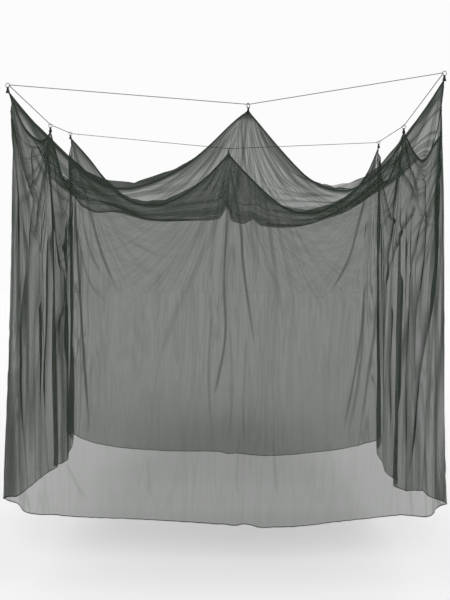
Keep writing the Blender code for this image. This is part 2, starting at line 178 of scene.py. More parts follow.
import bmesh
import bpy
import numpy as np
from mathutils import Matrix, Vector

CAD_BOX = [list(corner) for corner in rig.bounds()]
HOOK_MIDDLE = Vector((0.003, 0.0, 1.5515))


def table(kind, *rows):
    """The rows of a table, from plain numbers."""
    return tuple(kind(*row) for row in rows)


# The top edge of the net where each loop holds it. ring_turn is the ring's yaw in degrees.
HangPoint = namedtuple("HangPoint", "x y z ring_turn")
HANG_POINTS = {
    "front_left": HangPoint(-0.752, -0.500, 1.512, 0),
    "front_middle": HangPoint(0.080, -0.500, 1.442, 45),
    "front_right": HangPoint(0.758, -0.500, 1.553, 0),
    "right_middle": HangPoint(0.745, 0.000, 1.478, 0),
    "back_right": HangPoint(0.750, 0.500, 1.512, 0),
    "back_middle": HangPoint(0.022, 0.500, 1.478, -45),
    "back_left": HangPoint(-0.744, 0.500, 1.555, 0),
    "left_middle": HangPoint(-0.723, 0.000, 1.483, 0),
}
Swag = namedtuple("Swag", "start end cut bow")
SIDES = {
    "front": (Swag("front_left", "front_middle", 1.070, 0.006),
              Swag("front_middle", "front_right", 0.990, 0.018)),
    "right": (Swag("front_right", "right_middle", 0.635, 0.012),
              Swag("right_middle", "back_right", 0.650, 0.006)),
    "back": (Swag("back_right", "back_middle", 1.025, 0.020),
             Swag("back_middle", "back_left", 1.005, 0.010)),
    "left": (Swag("back_left", "left_middle", 0.685, 0.000),
             Swag("left_middle", "front_left", 0.557, 0.008)),
}
OUTWARD = {"front": (0, -1), "right": (1, 0), "back": (0, 1), "left": (-1, 0)}

# Trim, real sizes.
LOOP_RISE = 0.011             # from the top edge to the middle of the ring's lowest wire
RING_RADIUS = 0.0075          # to the middle of the wire
RING_WIRE = 0.003
CORD_DIAMETER = 0.003
CORD_BEND = 0.004             # the radius of its turn in a corner ring
CORD_CLEAR = 0.0007           # between cord and wire
CORD_ABOVE = 0.0041           # from the middle of a middle ring up to the cord
KNOT_RADIUS = 0.0046
KNOT_FROM_RING = 0.03
SEW_GAP = 0.0003              # between the knot and the cord's ends
CORD_POINTS_BETWEEN = 5
CORD_TURN_STEPS = 4


def hook_frame(point):
    """A point of the tables in the row's own frame."""
    return Vector(point) - HOOK_MIDDLE


def ring_middle(name):
    """The middle of the ring over one loop."""
    hang = HANG_POINTS[name]
    return hook_frame((hang.x, hang.y, hang.z + LOOP_RISE + RING_RADIUS))


# ---------------------------------------------------------------- camera

EYE = (-0.0145, -3.005, 0.840)        # where the picture was taken from
LOOK_DOWN = 1.2               # degrees
LENS = 43.2                   # mm
FILM = 36.0                   # mm, along the picture's long side
FARTHEST_SEEN = 300.0
SHIFT = 0.0067                # of the picture's frame, in widths of the film


def add_camera():
    """The photograph's own viewpoint."""
    bpy.ops.object.camera_add(location=hook_frame(EYE), rotation=(math.radians(90 - LOOK_DOWN), 0, 0))
    camera = bpy.context.object
    camera.name = "camera"
    camera.data.lens = LENS
    camera.data.sensor_width = FILM
    camera.data.sensor_fit = "AUTO"
    camera.data.shift_x = SHIFT
    camera.data.clip_end = FARTHEST_SEEN
    bpy.context.scene.camera = camera


# ---------------------------------------------------------------- materials

NET_GREEN = (0.008, 0.014, 0.008)
NET_PASSES = 0.43             # the share of the light that passes one layer of net
HEM_GREEN = (0.0045, 0.008, 0.006)
HEM_PASSES = 0.035
# The colour pairs of cord, binding and loops: first the painted shade between the threads, then the painted highlight
# on their crossings.
CORD_GREYS = ((0.09, 0.092, 0.09), (0.17, 0.173, 0.17))
BINDING_GREENS = ((0.0025, 0.004, 0.003), (0.009, 0.012, 0.009))
LOOP_BLACKS = ((0.002, 0.0024, 0.002), (0.008, 0.009, 0.008))
WIRE_GREYS = ((0.10, 0.10, 0.098, 1.0), (0.24, 0.24, 0.235, 1.0))
WIRE_BRIGHT = 0.22            # the roughness of the wire, and how much more it is in its dull spots
WIRE_DULLER = 0.25
LIGHTER_BY = 0.3              # added to the unevenness where the threads' crossings take their painted highlight
CORD_THREADS = (700.0, 8.0, 0.5)      # along and across per metre, or per turn of a cord, and slant
BINDING_THREADS = (1200.0, 1200.0, 0.0)
LOOP_THREADS = (1400.0, 1400.0, 0.0)
HOLES_PER_METRE = 640.0
HOLES_SLANT = 0.5
ASLANT_SHOWS = 0.05           # how much more net a look along the cloth meets
LEAST_FACING = 0.05
BUNCHED_COUNTS = 0.85         # layers that the drawn-together net counts as
THINNEST = 0.4                # the least number of layers anywhere
THREADS_SHOW = (0.88, 0.30)   # from the holes to the threads, as a share of a layer
UNEVEN_SHOWS = (0.92, 0.16)   # the same from thin to dense cloth
LINE_SETS = (("fan_left", 23.0, 0.75), ("fan_right", 20.0, 0.62))     # lines per metre, their length
LINES_DARK = 2.6
LINE_STEEP = 20.0             # how narrow the lines of a crinkled field are
LINE_LEVELS = ((0.52, 1.0), (0.40, 0.7))      # where in the field they lie, and how dark they are
SOFT_LEVEL = 0.53


def tools_for(tree):
    """Two functions for one tree: one adds any node, the other adds a Math node."""
    def put(socket, value):
        if isinstance(value, bpy.types.NodeSocket):
            tree.links.new(value, socket)
        else:
            socket.default_value = value

    def node(kind, **settings):
        """Settings go by an attribute's name, or by a socket's name with _ for its spaces."""
        added = tree.nodes.new(kind)
        for key, value in settings.items():
            if hasattr(added, key):
                setattr(added, key, value)
            else:
                put(added.inputs[key.replace("_", " ")], value)
        return added

    def maths(operation, *values):
        added = tree.nodes.new("ShaderNodeMath")
        added.operation = operation
        for socket, value in zip(added.inputs, values):
            put(socket, value)
        return added.outputs[0]

    return node, maths


def new_material(name, **settings):
    """A node material with its shader's sockets set, and the tools for its tree."""
    made = bpy.data.materials.new(name)
    made.use_nodes = True
    shader = made.node_tree.nodes["Principled BSDF"]
    for key, value in settings.items():
        shader.inputs[key.replace("_", " ")].default_value = value
    return made, shader, *tools_for(made.node_tree)


def link(socket, value):
    """Join an output to an input of the same tree."""
    socket.id_data.links.new(value, socket)


def new_group(name, numbers, results):
    """An empty node group that takes a place and some numbers, with the tools for its tree."""
    group = bpy.data.node_groups.new(name, "ShaderNodeTree")
    sockets = group.interface.new_socket
    sockets("Place", in_out="INPUT", socket_type="NodeSocketVector")
    for key, usual in numbers.items():
        sockets(key, in_out="INPUT", socket_type="NodeSocketFloat").default_value = usual
    for key in results:
        sockets(key, in_out="OUTPUT", socket_type="NodeSocketFloat")
    node, maths = tools_for(group)
    return group, node("NodeGroupInput").outputs, node("NodeGroupOutput").inputs, node, maths


def uv_place(node, map_name):
    """A place on the piece's own UV map."""
    return node("ShaderNodeUVMap", uv_map=map_name).outputs[0]


def add_bump(shader, node, height, strength, distance):
    """Let a height from 0 to 1 catch the light."""
    bump = node("ShaderNodeBump", Strength=strength, Distance=distance, Height=height)
    link(shader.inputs["Normal"], bump.outputs["Normal"])


def crease_group():
    """Fine crinkles of gathered net: a field of soft and sharp lines that run along V."""
    group, enter, leave, node, maths = new_group("fine creases", {
        "Lines per Metre": 40.0, "Line Length": 0.25, "Sharp": 0.5, "Soft": 0.5}, ("Creases",))
    parts = node("ShaderNodeSeparateXYZ", Vector=enter["Place"]).outputs
    place = node("ShaderNodeCombineXYZ", X=maths("MULTIPLY", parts["X"], enter["Lines per Metre"]),
                 Y=maths("DIVIDE", parts["Y"], enter["Line Length"]))
    level = node("ShaderNodeTexNoise", noise_dimensions="2D", Vector=place.outputs[0], Scale=1.0, Detail=1.2,
                 Roughness=0.55, Distortion=0.15).outputs["Fac"]
    lines = []
    for middle, height in LINE_LEVELS:
        off = maths("ABSOLUTE", maths("SUBTRACT", level, middle))
        lines.append(maths("MAXIMUM", maths("SUBTRACT", height, maths("MULTIPLY", off, LINE_STEEP)), 0.0))
    sharp = maths("MULTIPLY", maths("ADD", *lines), enter["Sharp"])
    soft = maths("MULTIPLY", maths("SUBTRACT", level, SOFT_LEVEL), enter["Soft"])
    link(leave["Creases"], maths("ADD", soft, sharp))
    return group


def weave_group():
    """Crossing threads: a height from 0 to 1 and a little unevenness, from a flat place."""
    group, enter, leave, node, maths = new_group("woven threads", {
        "Along per Metre": 1500.0, "Across per Metre": 1500.0, "Slant": 0.0}, ("Height", "Uneven"))
    parts = node("ShaderNodeSeparateXYZ", Vector=enter["Place"]).outputs
    along = maths("MULTIPLY", parts["X"], enter["Along per Metre"])
    across = maths("MULTIPLY", parts["Y"], enter["Across per Metre"])
    ways = (maths("ADD", along, maths("MULTIPLY", across, enter["Slant"])),
            maths("SUBTRACT", across, maths("MULTIPLY", along, enter["Slant"])))
    threads = [maths("ABSOLUTE", maths("SINE", maths("MULTIPLY", way, math.pi))) for way in ways]
    link(leave["Height"], maths("MULTIPLY", *threads))
    noise = node("ShaderNodeTexNoise", Vector=enter["Place"], Scale=260.0, Detail=3.0)
    link(leave["Uneven"], noise.outputs["Fac"])
    return group


def net_material(name, through, colour, creases, weave):
    """Sheer knitted net: what passes its holes head on is through, and less does where it is creased."""
    made, shader, node, maths = new_material(name, Base_Color=(*colour, 1.0), Roughness=0.85,
                                             Specular_IOR_Level=0.2)
    facing = node("ShaderNodeLayerWeight", Blend=0.5).outputs["Facing"]
    aslant = maths("DIVIDE", ASLANT_SHOWS, maths("MAXIMUM", maths("SUBTRACT", 1.0, facing), LEAST_FACING))
    bunched, fan_share, crinkled, creased, soft_lines = (
        node("ShaderNodeAttribute", attribute_name=field).outputs["Fac"]
        for field in ("bunched", "fan_share", "crinkled", "creased", "soft_lines"))
    fans = [node("ShaderNodeGroup", node_tree=creases, Place=uv_place(node, fan), Lines_per_Metre=lines,
                 Line_Length=length, Sharp=LINES_DARK, Soft=soft_lines).outputs["Creases"]
            for fan, lines, length in LINE_SETS]
    field = maths("ADD", maths("MULTIPLY", fans[0], maths("SUBTRACT", 1.0, fan_share)),
                  maths("MULTIPLY", fans[1], fan_share))
    layers = maths("ADD", maths("MULTIPLY", field, crinkled), maths("MULTIPLY", bunched, BUNCHED_COUNTS))
    layers = maths("ADD", maths("ADD", layers, aslant), creased)
    knit = node("ShaderNodeGroup", node_tree=weave, Place=uv_place(node, "flat_cloth"), Slant=HOLES_SLANT,
                Along_per_Metre=HOLES_PER_METRE, Across_per_Metre=HOLES_PER_METRE)
    shown = [maths("ADD", maths("MULTIPLY", knit.outputs[key], more), least)
             for key, (least, more) in (("Height", THREADS_SHOW), ("Uneven", UNEVEN_SHOWS))]
    layers = maths("MULTIPLY", maths("MAXIMUM", layers, THINNEST), maths("MULTIPLY", *shown))
    link(shader.inputs["Alpha"], maths("SUBTRACT", 1.0, maths("POWER", through, layers)))
    add_bump(shader, node, knit.outputs["Height"], strength=0.4, distance=0.0003)
    return made


def woven_material(name, colour, painted_lit_colour, weave, map_name, along, across, slant):
    """Tape or cord: a painted highlight on the threads' crossings and painted shade between them, in a colour that
    varies a little at random.
    """
    made, shader, node, maths = new_material(name, Roughness=0.85, Specular_IOR_Level=0.3)
    threads = node("ShaderNodeGroup", node_tree=weave, Place=uv_place(node, map_name),
                   Along_per_Metre=along, Across_per_Metre=across, Slant=slant).outputs
    # Painted light: the threads' crossings take the lit colour and the gaps between them the painted shade, with a
    # little random unevenness.
    share = maths("MULTIPLY", threads["Height"], maths("ADD", threads["Uneven"], LIGHTER_BY))
    mix = node("ShaderNodeMix", data_type="RGBA", A=(*colour, 1.0), B=(*painted_lit_colour, 1.0), Factor=share)
    link(shader.inputs["Base Color"], mix.outputs["Result"])
    add_bump(shader, node, threads["Height"], strength=0.6, distance=0.0003)
    return made


def wire_material(name):
    """Bright plated wire with a faint drawn grain and dull spots."""
    made, shader, node, maths = new_material(name, Metallic=1.0)
    place = node("ShaderNodeTexCoord").outputs["Object"]
    grain = node("ShaderNodeTexNoise", Vector=place, Scale=900.0, Detail=4.0).outputs["Fac"]
    dull = node("ShaderNodeTexNoise", Vector=place, Scale=120.0).outputs["Fac"]
    mix = node("ShaderNodeMix", data_type="RGBA", A=WIRE_GREYS[0], B=WIRE_GREYS[1], Factor=dull)
    link(shader.inputs["Base Color"], mix.outputs["Result"])
    link(shader.inputs["Roughness"], maths("ADD", maths("MULTIPLY", dull, WIRE_DULLER), WIRE_BRIGHT))
    add_bump(shader, node, grain, strength=0.12, distance=0.0002)
    return made


# ---------------------------------------------------------------- pieces from points

STEEP = 0.9                   # a path steeper than this is framed from the side


def quads(numbers):
    """The faces of one grid of point numbers."""
    corners = (numbers[:-1, :-1], numbers[:-1, 1:], numbers[1:, 1:], numbers[1:, :-1])
    return np.stack(corners, -1).reshape(-1, 4).tolist()


def grid_faces(rows, columns):
    """The faces of a grid whose points come row by row."""
    return quads(np.arange(rows * columns).reshape(rows, columns))


def mesh_piece(name, points, faces, uv_maps, finishes):
    """A smooth piece from points and faces, whose UV maps give one place for each point."""
    mesh = bpy.data.meshes.new(name)
    mesh.from_pydata([tuple(point) for point in points], [], faces)
    corner_points = np.empty(len(mesh.loops), int)
    mesh.loops.foreach_get("vertex_index", corner_points)
    for map_name, uvs in uv_maps.items():
        layer = mesh.uv_layers.new(name=map_name)
        layer.data.foreach_set("uv", np.array(uvs, np.float32)[corner_points].ravel())
    for finish in finishes:
        mesh.materials.append(finish)
    mesh.shade_smooth()
    piece = bpy.data.objects.new(name, mesh)
    bpy.context.collection.objects.link(piece)
    return piece


def tube(name, path, radius, sides, finish, closed=False):
    """A round tube along a path. Its UV map runs along it in metres and round it from 0 to 1."""
    count = len(path)
    points, uvs, along = [], [], 0.0
    rings = count + 1 if closed else count
    for k in range(rings):
        here = path[k % count]
        if k:
            along += (here - path[(k - 1) % count]).length
        before = path[(k - 1) % count] if closed or k else here
        after = path[(k + 1) % count] if closed or k + 1 < count else here
        way = (after - before).normalized()
        side = way.cross(Vector((0, 0, 1)) if abs(way.z) < STEEP else Vector((1, 0, 0))).normalized()
        up = side.cross(way)
        for step in range(sides + 1):
            turn = 2 * math.pi * step / sides
            points.append(here + (side * math.cos(turn) + up * math.sin(turn)) * radius)
            uvs.append((along, step / sides))
    faces = grid_faces(rings, sides + 1)
    if not closed:
        faces.append(tuple(range(sides - 1, -1, -1)))
        faces.append(tuple((rings - 1) * (sides + 1) + step for step in range(sides)))
    return mesh_piece(name, points, faces, {"along": uvs}, [finish])


# ---------------------------------------------------------------- cord

def cord_route():
    """The cord's middle line, through the eight rings and back to its knot."""
    corner_side = {"front_left": (1, -1), "front_right": (-1, -1),
                   "back_right": (-1, 1), "back_left": (1, 1)}
    clear = (RING_WIRE + CORD_DIAMETER) / 2 + CORD_CLEAR
    inset = RING_RADIUS - clear
    order = ("back_left", "back_middle", "back_right", "right_middle", "front_right",
             "front_middle", "front_left", "left_middle", "back_left")
    stations = []
    for name in order:
        middle = ring_middle(name)
        if name in corner_side:
            toward_x, outside_y = corner_side[name]
            centre = middle + Vector((toward_x * (inset + CORD_BEND), outside_y * (clear - CORD_BEND), 0))
            turns = [math.pi / 2 * k / CORD_TURN_STEPS for k in range(CORD_TURN_STEPS + 1)]
            arc = [centre + Vector((-toward_x * CORD_BEND * math.cos(turn),
                                    outside_y * CORD_BEND * math.sin(turn), 0)) for turn in turns]
            came_along_x = name in ("back_right", "front_left")
            stations.append(arc[::-1] if came_along_x else arc)
        else:
            stations.append([middle + Vector((0, 0, CORD_ABOVE))])
    first = stations[0][-1]
    toward = (stations[1][0] - first).normalized()
    stations[0] = [first + toward * (KNOT_FROM_RING + KNOT_RADIUS + SEW_GAP)]
    stations[-1] = stations[-1] + [first + toward * (KNOT_FROM_RING - KNOT_RADIUS - SEW_GAP)]
    points = []
    for station, following in zip(stations, stations[1:]):
        points += station
        start, end = station[-1], following[0]
        points += [start.lerp(end, (k + 1) / (CORD_POINTS_BETWEEN + 1))
                   for k in range(CORD_POINTS_BETWEEN)]
    points += stations[-1]
    return points, first + toward * KNOT_FROM_RING


def build_cord(finish):
    """The taut cord that carries the net."""
    points, knot_middle = cord_route()
    cord = tube("hanging_cord", points, CORD_DIAMETER / 2, CORD_SIDES, finish)
    length = sum((b - a).length for a, b in zip(points, points[1:]))
    knot = build_knot(knot_middle, finish)
    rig.ride(cord, "root")
    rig.replaces(cord, "cord")
    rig.slot(cord, "cord_fibre")
    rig.cord(cord, exit=points[0], length=length, diameter=CORD_DIAMETER, far_end="knot",
            stiffness="limp", lay="taut", with_pieces=[knot], path=points)


# ---------------------------------------------------------------- the net, hung and settled

NET_STEP = 0.024              # spacing of the cloth's points
WALL_CUT = 1.425              # height of the walls as cut, hem included

Corner = namedtuple("Corner", "x y z stray_x stray_y")
CORNERS = {
    "front_left": Corner(-0.775, -0.508, 0.100, 0.024, 0.010),
    "front_right": Corner(0.772, -0.506, 0.078, 0.010, -0.010),
    "back_right": Corner(0.762, 0.512, 0.100, -0.012, -0.012),
    "back_left": Corner(-0.770, 0.508, 0.130, 0.020, -0.008),
}
Hem = namedtuple("Hem", "at z out")
HEMS = {
    "front": table(Hem, (0.0, 0.1, 0.0), (0.05, 0.062, 0.016), (0.13, 0.04, 0.004), (0.28, 0.031, -0.01),
        (0.5, 0.008, 0.006), (0.64, 0.0, -0.008), (0.76, 0.021, 0.008), (0.86, 0.034, -0.004),
        (0.95, 0.046, 0.018), (1.0, 0.078, 0.0)),
    "right": table(Hem, (0.0, 0.078, 0.0), (0.12, 0.092, -0.01), (0.26, 0.052, 0.016), (0.42, 0.006, -0.012),
        (0.6, 0.004, 0.01), (0.78, 0.006, -0.012), (0.91, 0.04, 0.012), (1.0, 0.1, 0.0)),
    "back": table(Hem, (0.0, 0.1, 0.0), (0.07, 0.062, 0.014), (0.22, 0.03, -0.006), (0.36, 0.014, 0.01),
        (0.52, 0.031, -0.004), (0.7, 0.042, 0.01), (0.86, 0.062, -0.006), (0.95, 0.092, 0.014),
        (1.0, 0.13, 0.0)),
    "left": table(Hem, (0.0, 0.13, 0.0), (0.12, 0.07, 0.012), (0.28, 0.056, -0.014), (0.46, 0.078, 0.01),
        (0.66, 0.09, -0.012), (0.86, 0.096, 0.01), (1.0, 0.1, 0.0)),
}
Fold = namedtuple("Fold", "at drift width out starts hem")
FOLDS = {
    "front": table(Fold, (0.05, 0.01, 0.045, 0.03, 0.02, 1.0), (0.12, 0.0, 0.04, -0.048, 0.05, 0.8),
        (0.2, 0.02, 0.05, 0.022, 0.1, 0.5), (0.29, 0.04, 0.065, -0.05, 0.06, 0.2),
        (0.42, -0.03, 0.05, 0.016, 0.04, 0.4), (0.47, -0.05, 0.035, -0.02, 0.02, 0.3),
        (0.56, 0.05, 0.035, -0.018, 0.02, 0.4), (0.61, 0.06, 0.05, 0.016, 0.05, 0.3),
        (0.74, -0.02, 0.06, -0.042, 0.06, 0.3), (0.83, 0.0, 0.045, 0.022, 0.1, 0.6),
        (0.9, 0.0, 0.04, -0.045, 0.05, 0.9), (0.96, 0.0, 0.035, 0.026, 0.02, 1.0)),
    "right": table(Fold, (0.07, 0.01, 0.05, -0.04, 0.02, 0.9), (0.16, 0.01, 0.055, 0.036, 0.04, 1.0),
        (0.27, -0.02, 0.06, -0.034, 0.05, 0.8), (0.38, 0.02, 0.055, 0.03, 0.05, 0.9),
        (0.5, 0.0, 0.06, -0.044, 0.02, 0.8), (0.61, -0.01, 0.055, 0.028, 0.05, 0.9),
        (0.71, 0.02, 0.055, -0.03, 0.06, 0.8), (0.82, 0.0, 0.055, 0.034, 0.04, 1.0),
        (0.92, -0.01, 0.045, -0.036, 0.02, 0.9)),
    "back": table(Fold, (0.05, 0.01, 0.045, 0.026, 0.02, 1.0), (0.13, -0.01, 0.045, -0.04, 0.05, 0.8),
        (0.24, 0.06, 0.06, -0.03, 0.04, 0.3), (0.33, 0.02, 0.055, 0.02, 0.08, 0.5),
        (0.44, -0.04, 0.04, -0.024, 0.03, 0.5), (0.52, 0.01, 0.035, 0.03, 0.02, 0.8),
        (0.6, 0.04, 0.04, -0.022, 0.03, 0.4), (0.72, -0.06, 0.06, -0.034, 0.05, 0.3),
        (0.84, 0.01, 0.05, 0.022, 0.08, 0.6), (0.93, 0.0, 0.045, -0.036, 0.03, 0.9)),
    "left": table(Fold, (0.08, 0.0, 0.05, -0.036, 0.02, 0.9), (0.18, 0.02, 0.055, 0.034, 0.05, 1.0),
        (0.28, -0.01, 0.055, -0.03, 0.05, 0.8), (0.39, 0.01, 0.055, 0.026, 0.06, 0.9),
        (0.51, 0.0, 0.06, -0.046, 0.02, 0.8), (0.62, 0.02, 0.055, 0.03, 0.04, 0.9),
        (0.73, -0.02, 0.06, -0.036, 0.05, 0.8), (0.84, 0.01, 0.055, 0.04, 0.04, 1.0),
        (0.93, 0.0, 0.045, -0.034, 0.02, 0.9)),
}
FOLD_FULL = 0.30              # the share of the way down over which a fold grows
FOLD_SHARP = 1.6
FOLD_TURNS = 0.55             # the share of the way down from which a fold turns to its size at the hem
CORNER_REACH = 0.10           # shares of a wall's width near its corners: where it follows the corner,
EDGE_CALM = 0.035             # and where its folds are held flat
STRAY_FADES = 0.4             # a sewn corner strays this much less at its foot
SLACK_RANGE = (0.01, 5.0)     # of a hanging chain: half its run for each unit of its scale
SLACK_HALVINGS = 60
ROOF_SAG = 0.215
SAG_LONG = 4                  # how flat the sag's middle is along the roof, and how round across it
SAG_ACROSS = 0.8
ROOF_NARROWED = 0.09          # the roof is cut this much narrower in its middle than at its ends
ROOF_PUFF_FROM_EDGE = 0.10    # the share of the roof's width at which it is puffed most
ROOF_DRESSED_EVENED = 6       # rounds
ROOF_FROM_LONG = 0.35         # shares of the roof's width and length over which it is dressed
ROOF_FROM_SHORT = 0.06
TUCKS_FROM_LONG = 0.30
ROOF_EVEN_STEPS = 600         # rounds

SEWN_DECIMALS = 5             # points of two panels that agree so far are one
SETTLE_FRAMES = 36
UNEVEN_START = 0.0005         # the net starts this uneven, so that its folds are not all alike
UNEVEN_SEED = 3
CLOTH = {"quality": 6, "mass": 0.15, "air_damping": 2.0, "tension_stiffness": 30.0,
         "compression_stiffness": 12.0, "shear_stiffness": 0.5, "bending_stiffness": 0.001,
         "tension_damping": 5.0, "compression_damping": 5.0, "shear_damping": 5.0, "bending_damping": 0.5,
         "vertex_group_mass": "loops", "pin_stiffness": 1.0}


def smoothstep(value, start=0.0, end=1.0):
    """0 to 1 with a soft start and end, while the value goes from start to end."""
    value = np.clip((value - start) / (end - start), 0.0, 1.0)
    return value * value * (3.0 - 2.0 * value)


def through_rows(rows, column, at):
    """A smooth curve through one column of a table, whose rows are placed by their 'at'."""
    places = [row.at for row in rows]
    values = [getattr(row, column) for row in rows]
    slopes = np.gradient(values, places)
    k = int(np.clip(np.searchsorted(places, at) - 1, 0, len(places) - 2))
    span = places[k + 1] - places[k]
    t = (at - places[k]) / span
    return ((2 * t ** 3 - 3 * t ** 2 + 1) * values[k] + (t ** 3 - 2 * t ** 2 + t) * span * slopes[k]
            + (3 * t ** 2 - 2 * t ** 3) * values[k + 1] + (t ** 3 - t ** 2) * span * slopes[k + 1])


def chain(start, end, cut, fractions):
    """Points at fractions of a chain of length cut that hangs between two points."""
    run = math.hypot(end.x - start.x, end.y - start.y)
    rise = end.z - start.z
    wanted = math.sqrt(cut ** 2 - rise ** 2) / run
    low, high = SLACK_RANGE
    for _ in range(SLACK_HALVINGS):
        half = (low + high) / 2.0
        if math.sinh(half) / half < wanted:
            low = half
        else:
            high = half
    scale = run / (2.0 * half)
    lowest = run / 2.0 - scale * math.atanh(rise / cut)
    points = []
    for fraction in fractions:
        arc = fraction * cut - scale * math.sinh(lowest / scale)
        along = lowest + scale * math.asinh(arc / scale)
        height = scale * (math.cosh((along - lowest) / scale) - math.cosh(lowest / scale))
        share = along / run
        points.append(Vector((start.x + (end.x - start.x) * share,
                              start.y + (end.y - start.y) * share, start.z + height)))
    return points


def even_count(length):
    """An even number of steps of about NET_STEP."""
    return 2 * round(length / NET_STEP / 2)


COLUMNS = {side: even_count(sum(swag.cut for swag in SIDES[side])) for side in SIDES}
COLUMNS["back"], COLUMNS["left"] = COLUMNS["front"], COLUMNS["right"]
WALL_ROWS = round(WALL_CUT / NET_STEP)


def top_edge(side):
    """The seam along the top of one wall, from its first corner to its second."""
    points = []
    half = COLUMNS[side] // 2
    for swag in SIDES[side]:
        fractions = [k / half for k in range(half + 1)]
        line = chain(HANG_POINTS[swag.start], HANG_POINTS[swag.end], swag.cut, fractions)
        for point, fraction in zip(line, fractions):
            stand = swag.bow * math.sin(math.pi * fraction)
            point.x += OUTWARD[side][0] * stand
            point.y += OUTWARD[side][1] * stand
        points += line[1:] if points else line
    return points


def sewn_along(side):
    """How far along its side each column is on the cut cloth, in metres."""
    half = COLUMNS[side] // 2
    first, second = (swag.cut for swag in SIDES[side])
    return np.concatenate((np.linspace(0, first, half + 1), np.linspace(first, first + second, half + 1)[1:]))


def corner_line(corner, share):
    """A point of the sewn corner between two walls, at a share of its way down."""
    top = HANG_POINTS[corner]
    foot = CORNERS[corner]
    stray = math.sin(math.pi * share) * (1.0 - STRAY_FADES * share)
    return Vector((top.x + (foot.x - top.x) * share + foot.stray_x * stray,
                   top.y + (foot.y - top.y) * share + foot.stray_y * stray,
                   top.z + (foot.z - top.z) * share))


def fold_depth(side, at, share):
    """How far the wall stands out of line, from its table of folds."""
    depth = 0.0
    for fold in FOLDS[side]:
        middle = fold.at + fold.drift * share
        shape = math.exp(-((at - middle) / fold.width) ** 2 * FOLD_SHARP)
        grown = smoothstep((share - fold.starts) / FOLD_FULL)
        kept = 1.0 + (fold.hem - 1.0) * smoothstep(share, FOLD_TURNS)
        depth += fold.out * shape * grown * kept
    return depth * smoothstep(min(at, 1.0 - at) / EDGE_CALM)


def hung_wall(side):
    """One wall as it hangs before it settles, as rows from the top edge to the hem."""
    edge = top_edge(side)
    first, second = SIDES[side][0].start, SIDES[side][1].end
    start_foot, end_foot = corner_line(first, 1.0), corner_line(second, 1.0)
    out = Vector((*OUTWARD[side], 0.0))
    rows = []
    for r in range(WALL_ROWS + 1):
        share = r / WALL_ROWS
        row = []
        for c, top in enumerate(edge):
            at = c / COLUMNS[side]
            hem = start_foot.lerp(end_foot, at) + out * through_rows(HEMS[side], "out", at)
            hem.z = through_rows(HEMS[side], "z", at)
            point = top.lerp(hem, share)
            for corner, distance in ((first, at), (second, 1.0 - at)):
                straight = corner_line(corner, 0.0).lerp(corner_line(corner, 1.0), share)
                point += (corner_line(corner, share) - straight) * (1.0 - smoothstep(distance / CORNER_REACH))
            row.append(point + out * fold_depth(side, at, share))
        rows.append(row)
    return np.array(rows)


def hung_roof():
    """The roof before it settles: it spans its four edges and sags. Rows go from front to back."""
    front, back = np.array(top_edge("front")), np.array(top_edge("back")[::-1])
    left, right = np.array(top_edge("left")[::-1]), np.array(top_edge("right"))
    across = np.linspace(0.0, 1.0, COLUMNS["left"] + 1)[:, None, None]
    grid = front * (1.0 - across) + back * across
    grid[:, 0], grid[:, -1] = left, right
    for _ in range(ROOF_EVEN_STEPS):
        grid[1:-1, 1:-1] = (grid[:-2, 1:-1] + grid[2:, 1:-1] + grid[1:-1, :-2] + grid[1:-1, 2:]) / 4.0
    u = np.linspace(-1.0, 1.0, grid.shape[1])[None, :]
    v = np.linspace(0.0, 1.0, grid.shape[0])[:, None]
    grid[:, :, 2] -= ROOF_SAG * (1.0 - u ** SAG_LONG) * (4.0 * v * (1.0 - v)) ** SAG_ACROSS
    return grid


def cut_plan():
    """The five panels as cut, sewn into a box: where each of their points lies on the flat cloth."""
    along = {side: sewn_along(side) for side in SIDES}
    total = {side: along[side][-1] for side in SIDES}
    corners = {"front_left": (-total["front"] / 2, 0.0), "front_right": (total["front"] / 2, 0.0),
               "back_right": (total["back"] / 2, total["right"]),
               "back_left": (-total["back"] / 2, total["left"])}
    plan = {}
    for side, (first, second) in SIDES.items():
        a, b = np.array(corners[first.start]), np.array(corners[second.end])
        share = (along[side] / total[side])[:, None]
        level = a * (1.0 - share) + b * share
        level[:, 1] -= OUTWARD[side][1] * ROOF_NARROWED / 2 * 4.0 * share[:, 0] * (1.0 - share[:, 0])
        rows = [np.column_stack((level, np.full(len(level), -WALL_CUT * r / WALL_ROWS)))
                for r in range(WALL_ROWS + 1)]
        plan[f"wall_{side}"] = np.array(rows)
    front, back = plan["wall_front"][0], plan["wall_back"][0][::-1]
    left, right = plan["wall_left"][0][::-1], plan["wall_right"][0]
    v = np.linspace(0.0, 1.0, len(left))[:, None, None]
    u = np.linspace(0.0, 1.0, len(front))[None, :, None]
    plan["roof"] = ((1 - v) * front[None] + v * back[None] + (1 - u) * left[:, None] + u * right[:, None]
                    - (1 - u) * (1 - v) * front[0] - u * (1 - v) * front[-1]
                    - (1 - u) * v * back[0] - u * v * back[-1])
    return plan


def sew(hung, plan):
    """Join the five grids along their seams: one list of points, and each grid as numbers in it."""
    keys, points, flats, grids = {}, [], [], {}
    for name, grid in hung.items():
        numbers = np.zeros(grid.shape[:2], int)
        for index in np.ndindex(*grid.shape[:2]):
            key = tuple(np.round(plan[name][index], SEWN_DECIMALS) + 0.0)
            if key not in keys:
                keys[key] = len(points)
                points.append(grid[index])
                flats.append(plan[name][index])
            numbers[index] = keys[key]
        grids[name] = numbers
    return np.array(points), np.array(flats), grids


